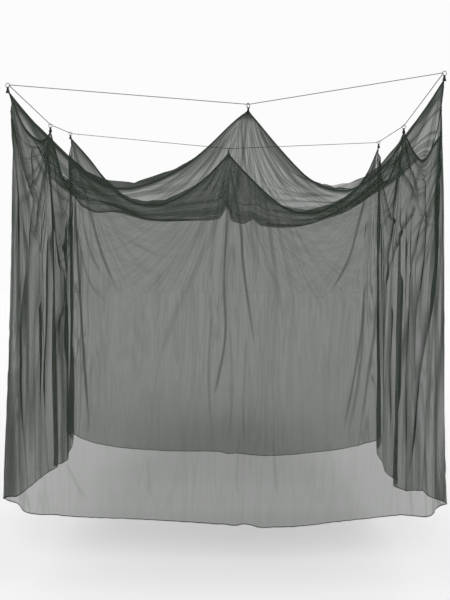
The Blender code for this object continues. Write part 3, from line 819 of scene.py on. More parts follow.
def settle(points, flats, grids):
    """Let the sewn net hang from its eight loops under its own weight."""
    faces = [face for numbers in grids.values() for face in quads(numbers)]
    mesh = bpy.data.meshes.new("net_in_one")
    uneven = np.random.default_rng(UNEVEN_SEED).normal(0, UNEVEN_START, points.shape)
    mesh.from_pydata((points + uneven).tolist(), [], faces)
    cloth = bpy.data.objects.new("net_in_one", mesh)
    bpy.context.collection.objects.link(cloth)
    cloth.shape_key_add(name="hung")
    cut = cloth.shape_key_add(name="cut")
    cut.data.foreach_set("co", flats.astype(np.float32).ravel())
    pins = []
    for hang in HANG_POINTS.values():
        place = np.array(hang[:3])
        pin = int(np.linalg.norm(points - place, axis=1).argmin())
        cloth.data.shape_keys.key_blocks["hung"].data[pin].co = place
        pins.append(pin)
    cloth.vertex_groups.new(name="loops").add(pins, 1.0, "REPLACE")
    modifier = cloth.modifiers.new("settle", "CLOTH")
    for key, value in CLOTH.items():
        setattr(modifier.settings, key, value)
    modifier.settings.rest_shape_key = cut
    modifier.collision_settings.use_collision = False
    modifier.collision_settings.use_self_collision = False
    modifier.point_cache.frame_start = 1
    modifier.point_cache.frame_end = SETTLE_FRAMES
    scene = bpy.context.scene
    scene.frame_start, scene.frame_end = 1, SETTLE_FRAMES
    for step in range(1, SETTLE_FRAMES + 1):
        scene.frame_set(step)
    settled = cloth.evaluated_get(bpy.context.evaluated_depsgraph_get())
    co = np.empty(len(points) * 3, np.float32)
    settled.data.vertices.foreach_get("co", co)
    bpy.data.objects.remove(cloth)
    scene.frame_set(1)
    return co.reshape(-1, 3).astype(float)


TINY = 1e-6
HEM_DEPTH = 0.0062            # the hem's turned-up band
BAND_MOST = 0.6               # a band takes at most this share of the last step
SEAM_DEPTH = 0.0025           # the sewn band each side of a corner
CORNER_DRAWN_IN = 0.022       # the front right corner's foot hangs this much further in
DRAWN_IN_X = (0.5, 0.8)
DRAWN_IN_Y = (0.3, -0.5)
DRAWN_IN_Z = (1.3, 0.0)
FAN_REACH = 0.50              # creases spread from a loop until this far down a wall
FAN_START = 0.01              # they meet this far above the seam
ROOF_FAN_START = 0.001
FANS_APART = 3.0              # so that the two fans of a wall never show the same lines
SIDE_FANS_WIDE = 0.40         # creases of the side walls are this much sparser
ROOF_FANS_WIDE = 0.60
ROOF_TURNS_WIDE = 0.45        # metres of cloth for each radian about a middle loop of the roof
ROOF_FANS_REACH = (0.15, 0.60)
NEAR_LOOP = 0.35              # how far from a loop the net stays more crinkled
NEAR_CORNER = 0.13            # and from a corner
# How crinkled each wall is everywhere, how much more near its loops, and near its corners.
CRINKLED = {"front": (0.03, 0.36, 0.25), "back": (0.03, 0.36, 0.25),
            "left": (0.50, 0.62, 0.0), "right": (0.36, 0.62, 0.0)}
ROOF_CRINKLED = 0.42
FINER = 4                     # each step of the settled cloth is divided this many times
BUNCHING_SHOWS = 0.06         # how much of the drawn-together net shows as darker cloth
BUNCHING_EVENED = 2           # rounds
BUNCHING_MOST = 2.5           # layers

# The top edge as it hangs: places along it, from the first loop to the last. The cloth below
# follows the edge, less and less until EDGE_FOLLOWED further down.
EDGE_FOLLOWED = 0.85
EdgePlace = namedtuple("EdgePlace", "along z")
TOP_EDGE = {
    "front": (
        table(EdgePlace, (-0.752, 1.512), (-0.685, 1.43), (-0.617, 1.356), (-0.555, 1.29), (-0.477, 1.22),
              (-0.417, 1.187), (-0.35, 1.176), (-0.29, 1.187), (-0.223, 1.211), (-0.15, 1.25), (-0.087, 1.298),
              (-0.039, 1.341), (0.008, 1.387), (0.05, 1.423), (0.08, 1.442)),
        table(EdgePlace, (0.08, 1.442), (0.12, 1.397), (0.166, 1.342), (0.228, 1.272), (0.287, 1.214),
              (0.35, 1.18), (0.398, 1.17), (0.45, 1.177), (0.537, 1.235), (0.606, 1.325), (0.664, 1.411),
              (0.709, 1.475), (0.758, 1.553))),
    "back": (
        table(EdgePlace, (0.75, 1.512), (0.712, 1.42), (0.675, 1.345), (0.622, 1.29), (0.563, 1.247),
              (0.471, 1.199), (0.412, 1.19), (0.321, 1.205), (0.26, 1.24), (0.169, 1.32), (0.078, 1.412),
              (0.022, 1.478)),
        table(EdgePlace, (0.022, 1.478), (-0.068, 1.38), (-0.165, 1.3), (-0.257, 1.248), (-0.33, 1.228),
              (-0.408, 1.234), (-0.485, 1.268), (-0.569, 1.345), (-0.65, 1.45), (-0.744, 1.555))),
    "right": (
        table(EdgePlace, (-0.5, 1.553), (-0.496, 1.47), (-0.48, 1.4), (-0.44, 1.35), (-0.385, 1.315),
              (-0.31, 1.305), (-0.22, 1.345), (-0.1, 1.425), (0.0, 1.478)),
        None),
    "left": (
        None,
        table(EdgePlace, (0.0, 1.483), (-0.075, 1.44), (-0.16, 1.408), (-0.25, 1.402), (-0.34, 1.412),
              (-0.415, 1.448), (-0.5, 1.512))),
}

# Creases in the hung net, each along a path as it shows from its own side: x and z on the front,
# the back and the roof, y and z on the left and the right. dark is in layers of net.
Crease = namedtuple("Crease", "path width deep dark")
CREASES = {
    "wall_front": table(Crease,
        (((0.097, 1.417), (0.139, 1.292), (0.246, 1.115)), 0.01, 0.006, 0.9),
        (((0.118, 1.379), (0.159, 1.309), (0.225, 1.222), (0.354, 1.111)), 0.01, 0.006, 0.9),
        (((0.084, 1.4), (0.121, 1.222), (0.152, 1.048), (0.201, 0.725)), 0.01, 0.008, 0.6),
        (((0.078, 1.431), (0.058, 1.275), (0.05, 1.222), (0.024, 1.083)), 0.012, 0.01, 1.2),
        (((0.06, 1.425), (-0.07, 1.297), (-0.192, 1.195), (-0.296, 1.15)), 0.012, 0.008, 1.0),
        (((0.062, 1.412), (-0.046, 1.282), (-0.164, 1.17), (-0.261, 1.12)), 0.01, 0.006, 0.7),
        (((0.04, 1.38), (-0.035, 1.275), (-0.11, 1.165)), 0.01, 0.006, 0.5),
        (((0.1, 1.41), (0.208, 1.275), (0.323, 1.163), (0.42, 1.14)), 0.01, 0.006, 0.9),
        (((0.11, 1.385), (0.19, 1.265), (0.268, 1.18), (0.416, 1.1)), 0.01, 0.006, 0.6),
        (((0.086, 1.42), (0.09, 1.25), (0.088, 1.08), (0.105, 0.86)), 0.01, 0.006, 0.5),
        (((0.068, 1.42), (0.02, 1.31), (-0.06, 1.18)), 0.01, 0.006, 0.45),
        (((-0.73, 1.48), (-0.64, 1.34), (-0.52, 1.2), (-0.4, 1.15)), 0.014, 0.01, 0.9),
        (((-0.74, 1.48), (-0.68, 1.33), (-0.59, 1.17), (-0.48, 1.09)), 0.012, 0.008, 0.8),
        (((-0.745, 1.47), (-0.71, 1.25), (-0.66, 1.0)), 0.012, 0.01, 0.8),
        (((-0.748, 1.47), (-0.735, 1.2), (-0.72, 0.8), (-0.742, 0.3)), 0.012, 0.01, 0.9),
        (((-0.7, 1.06), (-0.68, 0.7), (-0.7, 0.2)), 0.012, 0.01, 0.7),
        (((0.75, 1.52), (0.735, 1.3), (0.722, 1.0), (0.73, 0.4), (0.735, 0.15)), 0.012, 0.01, 1.0),
        (((0.735, 1.5), (0.66, 1.34), (0.6, 1.22), (0.52, 1.15)), 0.012, 0.008, 0.8),
        (((0.74, 1.48), (0.69, 1.29), (0.64, 1.12)), 0.012, 0.008, 0.7),
        (((0.482, 0.787), (0.47, 0.56), (0.427, 0.3)), 0.014, 0.01, 0.7),
        (((-0.56, 0.215), (-0.52, 0.14), (-0.48, 0.08)), 0.012, 0.006, 0.18),
        (((-0.27, 0.24), (-0.262, 0.09)), 0.014, 0.006, 0.12),
        (((0.05, 0.3), (0.04, 0.18), (0.048, 0.1)), 0.012, 0.006, 0.16),
        (((0.168, 0.3), (0.182, 0.09)), 0.01, 0.006, 0.25)),
    "wall_back": table(Crease,
        (((-0.735, 1.54), (-0.662, 1.24), (-0.6, 1.01), (-0.511, 0.79)), 0.012, 0.008, 1.1),
        (((0.745, 1.5), (0.677, 1.225), (0.6, 0.95), (0.506, 0.786)), 0.012, 0.008, 1.1),
        (((0.024, 1.44), (0.082, 1.122), (0.095, 0.92), (0.16, 0.475)), 0.012, 0.01, 1.25),
        (((0.02, 1.44), (0.014, 1.15), (0.0, 0.85), (0.008, 0.6), (-0.03, 0.375), (-0.052, 0.29)),
          0.012, 0.01, 1.1),
        (((-0.738, 1.4), (-0.721, 1.19), (-0.705, 0.85), (-0.682, 0.45), (-0.65, 0.05)), 0.012, 0.008, 1.9),
        (((0.748, 1.0), (0.744, 0.767), (0.712, 0.451), (0.662, 0.06)), 0.012, 0.008, 1.0),
        (((0.018, 1.43), (-0.05, 1.12), (-0.13, 0.93), (-0.24, 0.69), (-0.33, 0.44)), 0.045, 0.022, 0.22),
        (((0.028, 1.43), (0.15, 1.13), (0.235, 0.89), (0.3, 0.64)), 0.04, 0.02, 0.18),
        (((0.69, 0.84), (0.672, 0.6), (0.628, 0.34), (0.58, 0.11)), 0.012, 0.008, 1.0),
        (((-0.69, 1.15), (-0.64, 0.98), (-0.6, 0.9)), 0.012, 0.008, 0.6),
        (((-0.7, 1.02), (-0.65, 0.85), (-0.56, 0.74)), 0.012, 0.008, 0.45),
        (((-0.06, 0.7), (-0.075, 0.4), (-0.06, 0.08)), 0.014, 0.008, 0.35),
        (((0.03, 0.64), (0.04, 0.3), (0.02, 0.06)), 0.014, 0.008, 0.3),
        (((0.11, 0.6), (0.095, 0.25), (0.1, 0.07)), 0.014, 0.008, 0.3),
        (((0.26, 1.1), (0.33, 0.82), (0.35, 0.5)), 0.014, 0.008, 0.25),
        (((-0.56, 1.18), (-0.47, 1.06), (-0.3, 0.98)), 0.016, 0.008, 0.25)),
    "wall_left": table(Crease,
        (((0.005, 1.47), (0.02, 1.3), (0.07, 1.18), (0.16, 0.98), (0.26, 0.87), (0.255, 0.78), (0.13, 0.58),
          (0.07, 0.33)), 0.02, 0.016, 1.6),
        (((0.47, 1.53), (0.44, 1.3), (0.4, 1.08), (0.3, 0.98), (0.18, 0.9)), 0.016, 0.012, 1.3),
        (((-0.01, 1.46), (-0.06, 1.28), (-0.2, 1.1), (-0.26, 1.0)), 0.014, 0.01, 1.0),
        (((-0.017, 1.08), (-0.053, 0.64), (-0.09, 0.24)), 0.014, 0.012, 1.2),
        (((-0.49, 1.48), (-0.4, 1.33), (-0.3, 1.23), (-0.15, 1.15)), 0.014, 0.01, 1.0),
        (((-0.49, 1.46), (-0.44, 1.15), (-0.452, 0.84)), 0.014, 0.01, 1.1),
        (((-0.32, 0.9), (-0.36, 0.6), (-0.35, 0.16)), 0.014, 0.012, 1.2),
        (((-0.16, 0.76), (-0.12, 0.68), (-0.21, 0.26)), 0.014, 0.01, 1.0),
        (((-0.25, 1.38), (-0.24, 1.15), (-0.3, 0.9)), 0.014, 0.01, 0.9),
        (((0.33, 1.15), (0.36, 0.8), (0.3, 0.4)), 0.016, 0.012, 1.1),
        (((0.45, 1.2), (0.455, 0.7), (0.4, 0.25)), 0.014, 0.01, 0.9),
        (((0.06, 1.48), (0.15, 1.38), (0.17, 1.0), (0.16, 0.6), (0.13, 0.16)), 0.27, 0.002, 0.65),
        (((-0.44, 0.56), (-0.43, 0.33), (-0.42, 0.09)), 0.18, 0.002, 0.6)),
    "wall_right": table(Crease,
        (((-0.48, 1.5), (-0.44, 1.143), (-0.44, 0.904), (-0.354, 0.722), (-0.22, 0.268), (-0.14, 0.04)),
          0.02, 0.016, 1.5),
        (((0.01, 1.46), (0.143, 1.211), (0.235, 0.921), (0.312, 0.803)), 0.014, 0.012, 1.3),
        (((-0.22, 1.142), (-0.074, 1.104), (0.09, 1.02), (0.273, 0.849)), 0.012, 0.01, 1.2),
        (((-0.31, 1.12), (-0.2, 0.98), (-0.105, 0.848)), 0.012, 0.008, 0.9),
        (((0.07, 1.34), (-0.1, 1.24), (-0.235, 1.159)), 0.012, 0.01, 1.2),
        (((-0.06, 1.33), (-0.18, 1.25), (-0.26, 1.17)), 0.012, 0.008, 1.0),
        (((0.47, 1.49), (0.4, 1.33), (0.214, 1.152), (0.13, 1.1)), 0.014, 0.012, 1.4),
        (((0.48, 1.48), (0.465, 1.2), (0.44, 0.9), (0.47, 0.5)), 0.014, 0.01, 1.0),
        (((0.4, 1.15), (0.39, 0.8), (0.35, 0.45)), 0.014, 0.01, 0.9),
        (((-0.3, 1.28), (-0.33, 1.0), (-0.24, 0.7), (-0.28, 0.35)), 0.014, 0.01, 0.9),
        (((0.03, 0.9), (0.06, 0.56), (0.0, 0.2)), 0.014, 0.012, 1.0),
        (((0.16, 0.76), (0.19, 0.45), (0.15, 0.12)), 0.014, 0.01, 0.9),
        (((-0.08, 0.76), (-0.05, 0.45), (-0.09, 0.09)), 0.014, 0.01, 0.8)),
    "roof": table(Crease,
        (((-0.72, 1.48), (-0.6, 1.29), (-0.44, 1.17), (-0.25, 1.11), (-0.04, 1.105)), 0.012, 0.006, 0.7),
        (((-0.7, 1.42), (-0.56, 1.23), (-0.38, 1.13), (-0.18, 1.09)), 0.012, 0.006, 0.6),
        (((0.74, 1.52), (0.64, 1.33), (0.5, 1.19), (0.35, 1.13), (0.18, 1.1)), 0.012, 0.006, 0.7),
        (((0.72, 1.44), (0.6, 1.27), (0.45, 1.15), (0.28, 1.09)), 0.012, 0.006, 0.6)),
}

# How much higher the roof is dressed than it settles, at places along its length.
Dressed = namedtuple("Dressed", "x up")
ROOF_DRESSED = table(Dressed, (-0.75, 0.0), (-0.64, -0.085), (-0.57, -0.055), (-0.5, 0.01), (-0.44, 0.04),
        (-0.33, 0.052), (-0.2, 0.068), (-0.06, 0.066), (0.0, 0.08), (0.06, 0.058), (0.2, 0.058), (0.34, 0.048),
        (0.46, 0.036), (0.58, 0.012), (0.68, -0.02), (0.75, 0.0))

# How far the roof stands above its long edges, just inside them.
ROOF_PUFF = {
    "front": table(Dressed, (-0.75, 0.0), (-0.62, 0.01), (-0.5, 0.012), (-0.42, 0.018), (-0.36, 0.034),
        (-0.3, 0.05), (-0.2, 0.048), (-0.1, 0.04), (0.0, 0.024), (0.08, 0.0), (0.2, 0.006), (0.33, 0.034),
        (0.42, 0.03), (0.5, 0.012), (0.6, 0.0), (0.76, 0.0)),
    "back": table(Dressed, (-0.75, 0.0), (-0.5, 0.0), (-0.36, 0.034), (-0.2, 0.044), (0.0, 0.02), (0.2, 0.006),
        (0.33, 0.02), (0.44, 0.024), (0.55, 0.0), (0.76, 0.0)),
}

# Where the roof is tucked up, or hangs in a bag.
Tuck = namedtuple("Tuck", "x y wide long up")
ROOF_TUCKS = table(Tuck, (0.006, 0.02, 0.017, 0.3, 0.052), (0.03, 0.02, 0.012, 0.25, -0.01),
        (0.115, 0.02, 0.022, 0.25, 0.026), (-0.69, -0.08, 0.034, 0.26, -0.095))

# Crinkles in the cloth: waves that run along the fans of creases. tight counts them per metre.
Crinkle = namedtuple("Crinkle", "tight wander deep phase")
CRINKLES = table(Crinkle, (9.0, 1.3, 1.0, 0.4), (13.0, 2.1, 0.85, 2.2), (17.5, 1.7, 0.7, 4.1),
        (22.0, 2.9, 0.5, 1.1), (27.0, 2.3, 0.35, 5.3))
CRINKLE_DEPTH = {"wall_front": 0.0046, "wall_back": 0.0052, "wall_left": 0.0050, "wall_right": 0.0050,
                 "roof": 0.0078}
CALM_STEPS = 2                # steps of the settled cloth from its edge to the full crinkles
CRINKLES_BEND = 0.35          # how far a crinkle wanders, as a share of the next one's distance
CRINKLES_FADE = 0.4           # how much shallower it gets where it fades, and how often it does
FADES_ALONG = 5.0
FADES_ACROSS = 23.0
SOFT_LINES = {"wall_front": 0.30, "wall_back": 0.30, "wall_left": 0.12, "wall_right": 0.12, "roof": 0.10}
LINES_RUN = {"wall_front": (1.0, 1.0), "wall_back": (1.0, 1.0), "wall_left": (0.75, 0.30),
             "wall_right": (0.75, 0.30), "roof": (0.6, 0.45)}     # how many lines across, and along
CREASE_CORE = 0.005           # a crease's dark line, half its least width
SIDE_CREASE_CORE = 0.013      # the same where a deep pleat turns, on the left and the right
CORE_SHARE = 0.30             # or this share of the crease's own width
CREASE_STARTS = 0.08          # the share of its path over which a crease begins
CREASE_ENDS = 0.25
ROOF_PRESSED = (0.0, -0.5, -0.8)      # which way a crease presses the roof
TROUGH_DARK = 0.9             # the roof's lowest fold, all along it
TROUGH_WIDE = 0.020
SEAM_DARK = 1.75              # on the roof, the gathers where it is sewn to the walls
SEAM_WIDE = 0.110
LEFT_SWAG = (0.10, -0.05)     # they grow from the first x to the second, towards the left
LEAST_WIDE = 0.6              # how wide and how dark they are on the right, as a share
LEAST_DARK = 0.5
PEAK_WIDE = 0.17              # they fade this near a middle loop
SEWN_DARK = 4.6               # the same on the walls
SEWN_WIDE = 0.0095
GATHER_DARK = 2.4             # where the net is drawn together under each loop
GATHER_WIDE = 0.024
ROOF_PLAIN = 0.36             # layers of net that the roof shows as
ROOF_FOLLOWS_STEPS = 300      # rounds
PLEATS_KEPT = 0.45            # how deep the pleats of the left and the right stay
PLEATS_EVENED = 60            # rounds
PLEATS_FROM_SEAM = 0.05       # the shares of the wall's width and height over which it flattens
PLEATS_FROM_TOP = 0.12


def with_band(grid, axis, at_end, depth):
    """The grid with one more row or column, depth metres inside its first or last one."""
    lines = np.moveaxis(grid, axis, 0)
    edge, inner = (lines[-1], lines[-2]) if at_end else (lines[0], lines[1])
    away = inner - edge
    size = np.linalg.norm(away[..., :3], axis=-1, keepdims=True)
    band = edge + away * np.minimum(depth / np.maximum(size, TINY), BAND_MOST)
    lines = (np.concatenate((lines[:-1], band[None], lines[-1:])) if at_end
             else np.concatenate((lines[:1], band[None], lines[1:])))
    return np.moveaxis(lines, 0, axis)


def slopes(places, flat):
    """How the cloth lies per metre of flat cloth, along each of its two ways."""
    return [np.gradient(places, axis=axis)
            / np.maximum(np.linalg.norm(np.gradient(flat, axis=axis), axis=-1, keepdims=True), TINY)
            for axis in (1, 0)]


def evened(field, rounds):
    """The field with its small unevenness spread out."""
    for _ in range(rounds):
        padded = np.pad(field, 1, mode="edge")
        field = (padded[1:-1, 1:-1] * 4 + padded[:-2, 1:-1] + padded[2:, 1:-1]
                 + padded[1:-1, :-2] + padded[1:-1, 2:]) / 8
    return field


def bunching(places, flat):
    """Layers of net over each spot of the settled cloth: more than 1 where it is drawn together."""
    across, down = slopes(places, flat)
    area = np.linalg.norm(np.cross(across, down), axis=-1)
    return np.clip(1.0 / np.maximum(evened(area, BUNCHING_EVENED), TINY), 1.0, BUNCHING_MOST) ** BUNCHING_SHOWS


def wall_fans(side, flat):
    """Two fans of crease lines on a wall, spread from the loop to the left and to the right."""
    first, second = (swag.cut for swag in SIDES[side])
    run, drop = flat[..., 0], -flat[..., 1]
    left = np.where(run < first, 0.0, first)
    right = np.where(run < first, first, first + second)
    share = smoothstep((run - left) / (right - left))
    reached = np.minimum(drop + FAN_START, FAN_REACH)
    fans = [np.stack((loop + FAN_REACH * np.arctan2(run - loop, reached), drop + FANS_APART * k), -1)
            for k, loop in enumerate((left, right))]
    if side in ("left", "right"):
        for fan in fans:
            fan[..., 0] *= SIDE_FANS_WIDE
    from_loop = np.minimum.reduce([np.hypot(run - at, drop) for at in (0.0, first, first + second)])
    from_corner = np.minimum(run, first + second - run)
    everywhere, by_loops, by_corners = CRINKLED[side]
    crinkled = (everywhere + by_loops * np.exp(-from_loop / NEAR_LOOP)
                + by_corners * np.exp(-(from_corner / NEAR_CORNER) ** 2))
    return fans, share, crinkled


def roof_fans(flat):
    """Crease lines on the roof: along its length, and spread from the middle loops."""
    x, y = flat[..., 0], flat[..., 1]
    depth = sewn_along("right")[-1]
    along = np.stack((y, x), -1)
    near_front = y < depth / 2
    loop_y = np.where(near_front, 0.0, depth)
    turn = np.arctan2(np.abs(y - loop_y) + ROOF_FAN_START, x)
    away = np.hypot(x, y - loop_y)
    spread = np.stack((turn * ROOF_TURNS_WIDE, away), -1)
    share = 1.0 - smoothstep(away, *ROOF_FANS_REACH)
    along[..., 0] *= ROOF_FANS_WIDE
    return [along, spread], share, np.full(x.shape, ROOF_CRINKLED)


def refined(grid):
    """The grid with FINER steps for each of its own, on smooth curves through its points."""
    for axis in (0, 1):
        lines = np.moveaxis(grid, axis, 0)
        before = np.concatenate((2 * lines[:1] - lines[1:2], lines[:-1]))
        after = np.concatenate((lines[1:], 2 * lines[-1:] - lines[-2:-1]))
        a, b, c, d = before[:-1], lines[:-1], lines[1:], after[1:]
        parts = []
        for k in range(FINER):
            t = k / FINER
            parts.append(b + 0.5 * t * (c - a + t * (2 * a - 5 * b + 4 * c - d + t * (3 * (b - c) + d - a))))
        fine = np.stack(parts, 1).reshape(-1, *lines.shape[1:])
        grid = np.moveaxis(np.concatenate((fine, lines[-1:])), 0, axis)
    return grid


def crinkle_height(fan):
    """Waves across a fan of creases, fading in and out along it."""
    across, along = fan[..., 0], fan[..., 1]
    height = 0.0
    for k, wave in enumerate(CRINKLES):
        bend = CRINKLES_BEND * np.sin(wave.wander * along * 2.0 + wave.phase)
        fading = np.sin(FADES_ALONG * along + FADES_ACROSS * across + 2.0 * wave.phase)
        swell = 1.0 - CRINKLES_FADE * (1.0 - fading)
        height = height + wave.deep * swell * np.sin(2 * np.pi * (wave.tight * across + bend) + wave.phase + k)
    return height / 2.0


def crinkled_cloth(grid, deep):
    """Raise the crinkles of a refined grid, each point along the cloth's own normal."""
    places = grid[..., :3]
    normal = np.cross(np.gradient(places, axis=1), np.gradient(places, axis=0))
    normal /= np.maximum(np.linalg.norm(normal, axis=-1, keepdims=True), TINY ** 2)
    share = grid[..., 9]
    height = crinkle_height(grid[..., 5:7]) * (1 - share) + crinkle_height(grid[..., 7:9]) * share
    rows, columns = share.shape
    edge = np.minimum.outer(np.minimum(np.arange(rows), np.arange(rows)[::-1]),
                            np.minimum(np.arange(columns), np.arange(columns)[::-1]))
    calm = smoothstep(edge / (CALM_STEPS * FINER))
    grid[..., :3] = places + normal * (height * calm * deep)[..., None]
    return grid


def edge_places(side, half, settled):
    """Where half of a side's top edge hangs: its settled points, moved onto the table's line."""
    rows = TOP_EDGE.get(side, (None, None))[half]
    if rows is None:
        return settled
    axis = 0 if side in ("front", "back") else 1
    line = refined(np.array([[row.along, row.z] for row in rows])[:, None].repeat(2, 1))[:, 0]
    reached = np.concatenate(([0.0], np.cumsum(np.linalg.norm(np.diff(line, axis=0), axis=1))))
    share = np.linspace(0.0, reached[-1], len(settled))
    moved = settled.copy()
    moved[:, axis] = np.interp(share, reached, line[:, 0])
    moved[:, 2] = np.interp(share, reached, line[:, 1])
    return moved


def drawn_to_edge(points, grids):
    """Move the settled net's top edge onto its table, and the cloth near it with it."""
    moves = np.zeros_like(points)
    for side in SIDES:
        numbers = grids[f"wall_{side}"]
        middle = numbers.shape[1] // 2
        top = points[numbers[0]]
        wanted = np.concatenate((edge_places(side, 0, top[:middle + 1]),
                                 edge_places(side, 1, top[middle:])[1:]))
        drop = WALL_CUT * np.arange(numbers.shape[0]) / (numbers.shape[0] - 1)
        kept = 1.0 - smoothstep(drop / EDGE_FOLLOWED)
        moves[numbers] = (wanted - top)[None] * kept[:, None, None]
    roof = moves[grids["roof"]]
    roof[1:-1, 1:-1] = 0.0
    for _ in range(ROOF_FOLLOWS_STEPS):
        roof[1:-1, 1:-1] = (roof[:-2, 1:-1] + roof[2:, 1:-1] + roof[1:-1, :-2] + roof[1:-1, 2:]) / 4.0
    moves[grids["roof"][1:-1, 1:-1]] = roof[1:-1, 1:-1]
    return points + moves


def near_path(places, path):
    """How far each place is from a path, and its share of the way along."""
    nearest = np.full(places.shape[:-1], np.inf)
    share = np.zeros(places.shape[:-1])
    parts = len(path) - 1
    for k in range(parts):
        start, end = np.array(path[k]), np.array(path[k + 1])
        way = end - start
        along = np.clip(((places - start) @ way) / (way @ way), 0.0, 1.0)
        distance = np.linalg.norm(places - start - along[..., None] * way, axis=-1)
        closer = distance < nearest
        nearest = np.where(closer, distance, nearest)
        share = np.where(closer, (k + along) / parts, share)
    return nearest, share


def with_creases(name, grid):
    """Press the piece's creases into its grid, and add how dark each spot shows to its fields."""
    places = grid[..., :3] + np.array(HOOK_MIDDLE)
    sideways = name in ("wall_left", "wall_right")
    seen = places[..., [1, 2]] if sideways else places[..., [0, 2]]
    least = SIDE_CREASE_CORE if sideways else CREASE_CORE
    out = np.array(ROOF_PRESSED if name == "roof" else (*OUTWARD[name[5:]], 0.0))
    dark = np.zeros(seen.shape[:-1])
    from_first = np.arange(len(grid))[:, None] * NET_STEP / FINER
    for crease in CREASES[name]:
        distance, share = near_path(seen, smooth_path(crease.path))
        fade = smoothstep(share / CREASE_STARTS) * smoothstep((1.0 - share) / CREASE_ENDS)
        grid[..., :3] += out * (crease.deep * fade * np.exp(-(distance / crease.width) ** 2))[..., None]
        core = max(least, crease.width * CORE_SHARE)
        dark = np.maximum(dark, crease.dark * fade * np.exp(-(distance / core) ** 2))
    if name == "roof":
        off = from_first - from_first[grid[..., 2].argmin(0)].T
        dark = np.maximum(dark, TROUGH_DARK * np.exp(-(off / TROUGH_WIDE) ** 2))
        left_swag = smoothstep(seen[..., 0], *LEFT_SWAG)
        wide = SEAM_WIDE * (LEAST_WIDE + (1.0 - LEAST_WIDE) * left_swag)
        front_dark = SEAM_DARK * (LEAST_DARK + (1.0 - LEAST_DARK) * left_swag)
        for loop, gathers, away in (("front_middle", front_dark, from_first),
                                    ("back_middle", SEAM_DARK * LEAST_DARK, from_first[::-1])):
            swag = 1.0 - np.exp(-((seen[..., 0] - HANG_POINTS[loop].x) / PEAK_WIDE) ** 2)
            dark = dark + gathers * swag * np.exp(-(away / wide) ** 2)
    else:
        dark = np.maximum(dark, SEWN_DARK * np.exp(-(from_first / SEWN_WIDE) ** 2))
    for hang in HANG_POINTS.values():
        away = np.linalg.norm(places - np.array(hang[:3]), axis=-1)
        dark = np.maximum(dark, GATHER_DARK * np.exp(-(away / GATHER_WIDE) ** 2))
    return np.concatenate((grid, dark[..., None]), -1)


def smooth_path(path):
    """More points on a path, on smooth curves through its own."""
    line = np.array(path)[:, None].repeat(2, 1)
    return refined(line)[:, 0].tolist() if len(path) > 2 else [list(point) for point in path]


def panel(name, grid, finishes):
    """One panel of the net as its own sheet, a wall with its hem and the seams of its corners.

    grid holds x, y, z, the flat cloth's u and v, the two fans' places, and the three fields.
    """
    wall = name != "roof"
    grid = with_creases(name, crinkled_cloth(refined(grid), CRINKLE_DEPTH[name]))
    if wall:
        grid = with_band(grid, 0, True, HEM_DEPTH)
        grid = with_band(with_band(grid, 1, True, SEAM_DEPTH), 1, False, SEAM_DEPTH)
    rows, columns = grid.shape[:2]
    flat = grid.reshape(-1, grid.shape[2])
    uv_maps = {"flat_cloth": flat[:, 3:5], "fan_left": flat[:, 5:7] * LINES_RUN[name],
               "fan_right": flat[:, 7:9] * LINES_RUN[name]}
    sheet = mesh_piece(f"net_{name}", flat[:, :3], grid_faces(rows, columns), uv_maps, finishes)
    fields = (*flat.T[9:13], np.full(len(flat), SOFT_LINES[name]))
    for field, values in zip(("fan_share", "bunched", "crinkled", "creased", "soft_lines"), fields):
        made = sheet.data.attributes.new(field, "FLOAT", "POINT")
        made.data.foreach_set("value", values.astype(np.float32))
    slots = np.zeros((rows - 1, columns - 1), int)
    if wall:
        slots[-1, :] = slots[:, 0] = slots[:, -1] = 1
    sheet.data.polygons.foreach_set("material_index", slots.ravel())
    return sheet


def flatter_pleats(places, out):
    """The left or right wall with its pleats less deep, between its seams."""
    line = places @ out
    smooth = line.copy()
    for _ in range(PLEATS_EVENED):
        smooth[:, 1:-1] = (smooth[:, :-2] + 2 * smooth[:, 1:-1] + smooth[:, 2:]) / 4
    at = np.linspace(0.0, 1.0, places.shape[1])[None, :]
    down = np.linspace(0.0, 1.0, places.shape[0])[:, None]
    less = (1.0 - PLEATS_KEPT) * smoothstep(np.minimum(at, 1.0 - at) / PLEATS_FROM_SEAM)
    less = less * smoothstep(down / PLEATS_FROM_TOP)
    return places + ((smooth - line) * less)[..., None] * out


def dressed_roof(places):
    """Lift the settled roof to where its folds were dressed, and puff it just inside its swags."""
    rows, columns = places.shape[:2]
    u = np.linspace(0.0, 1.0, columns)[None, :]
    v = np.linspace(0.0, 1.0, rows)[:, None]
    from_long, from_short = np.minimum(v, 1.0 - v), np.minimum(u, 1.0 - u)
    up = evened(np.interp(places[..., 0], *zip(*ROOF_DRESSED)), ROOF_DRESSED_EVENED)
    places[..., 2] += up * smoothstep(from_long / ROOF_FROM_LONG) * smoothstep(from_short / ROOF_FROM_SHORT)
    for side, near_edge in (("front", v / ROOF_PUFF_FROM_EDGE), ("back", (1.0 - v) / ROOF_PUFF_FROM_EDGE)):
        puff = np.interp(places[..., 0], *zip(*ROOF_PUFF[side]))
        places[..., 2] += puff * near_edge * np.exp(1.0 - near_edge)
    middle = smoothstep(from_long / TUCKS_FROM_LONG)
    for tuck in ROOF_TUCKS:
        off = ((places[..., 0] - tuck.x) / tuck.wide) ** 2 + ((places[..., 1] - tuck.y) / tuck.long) ** 2
        places[..., 2] += tuck.up * np.exp(-off) * middle
    return places


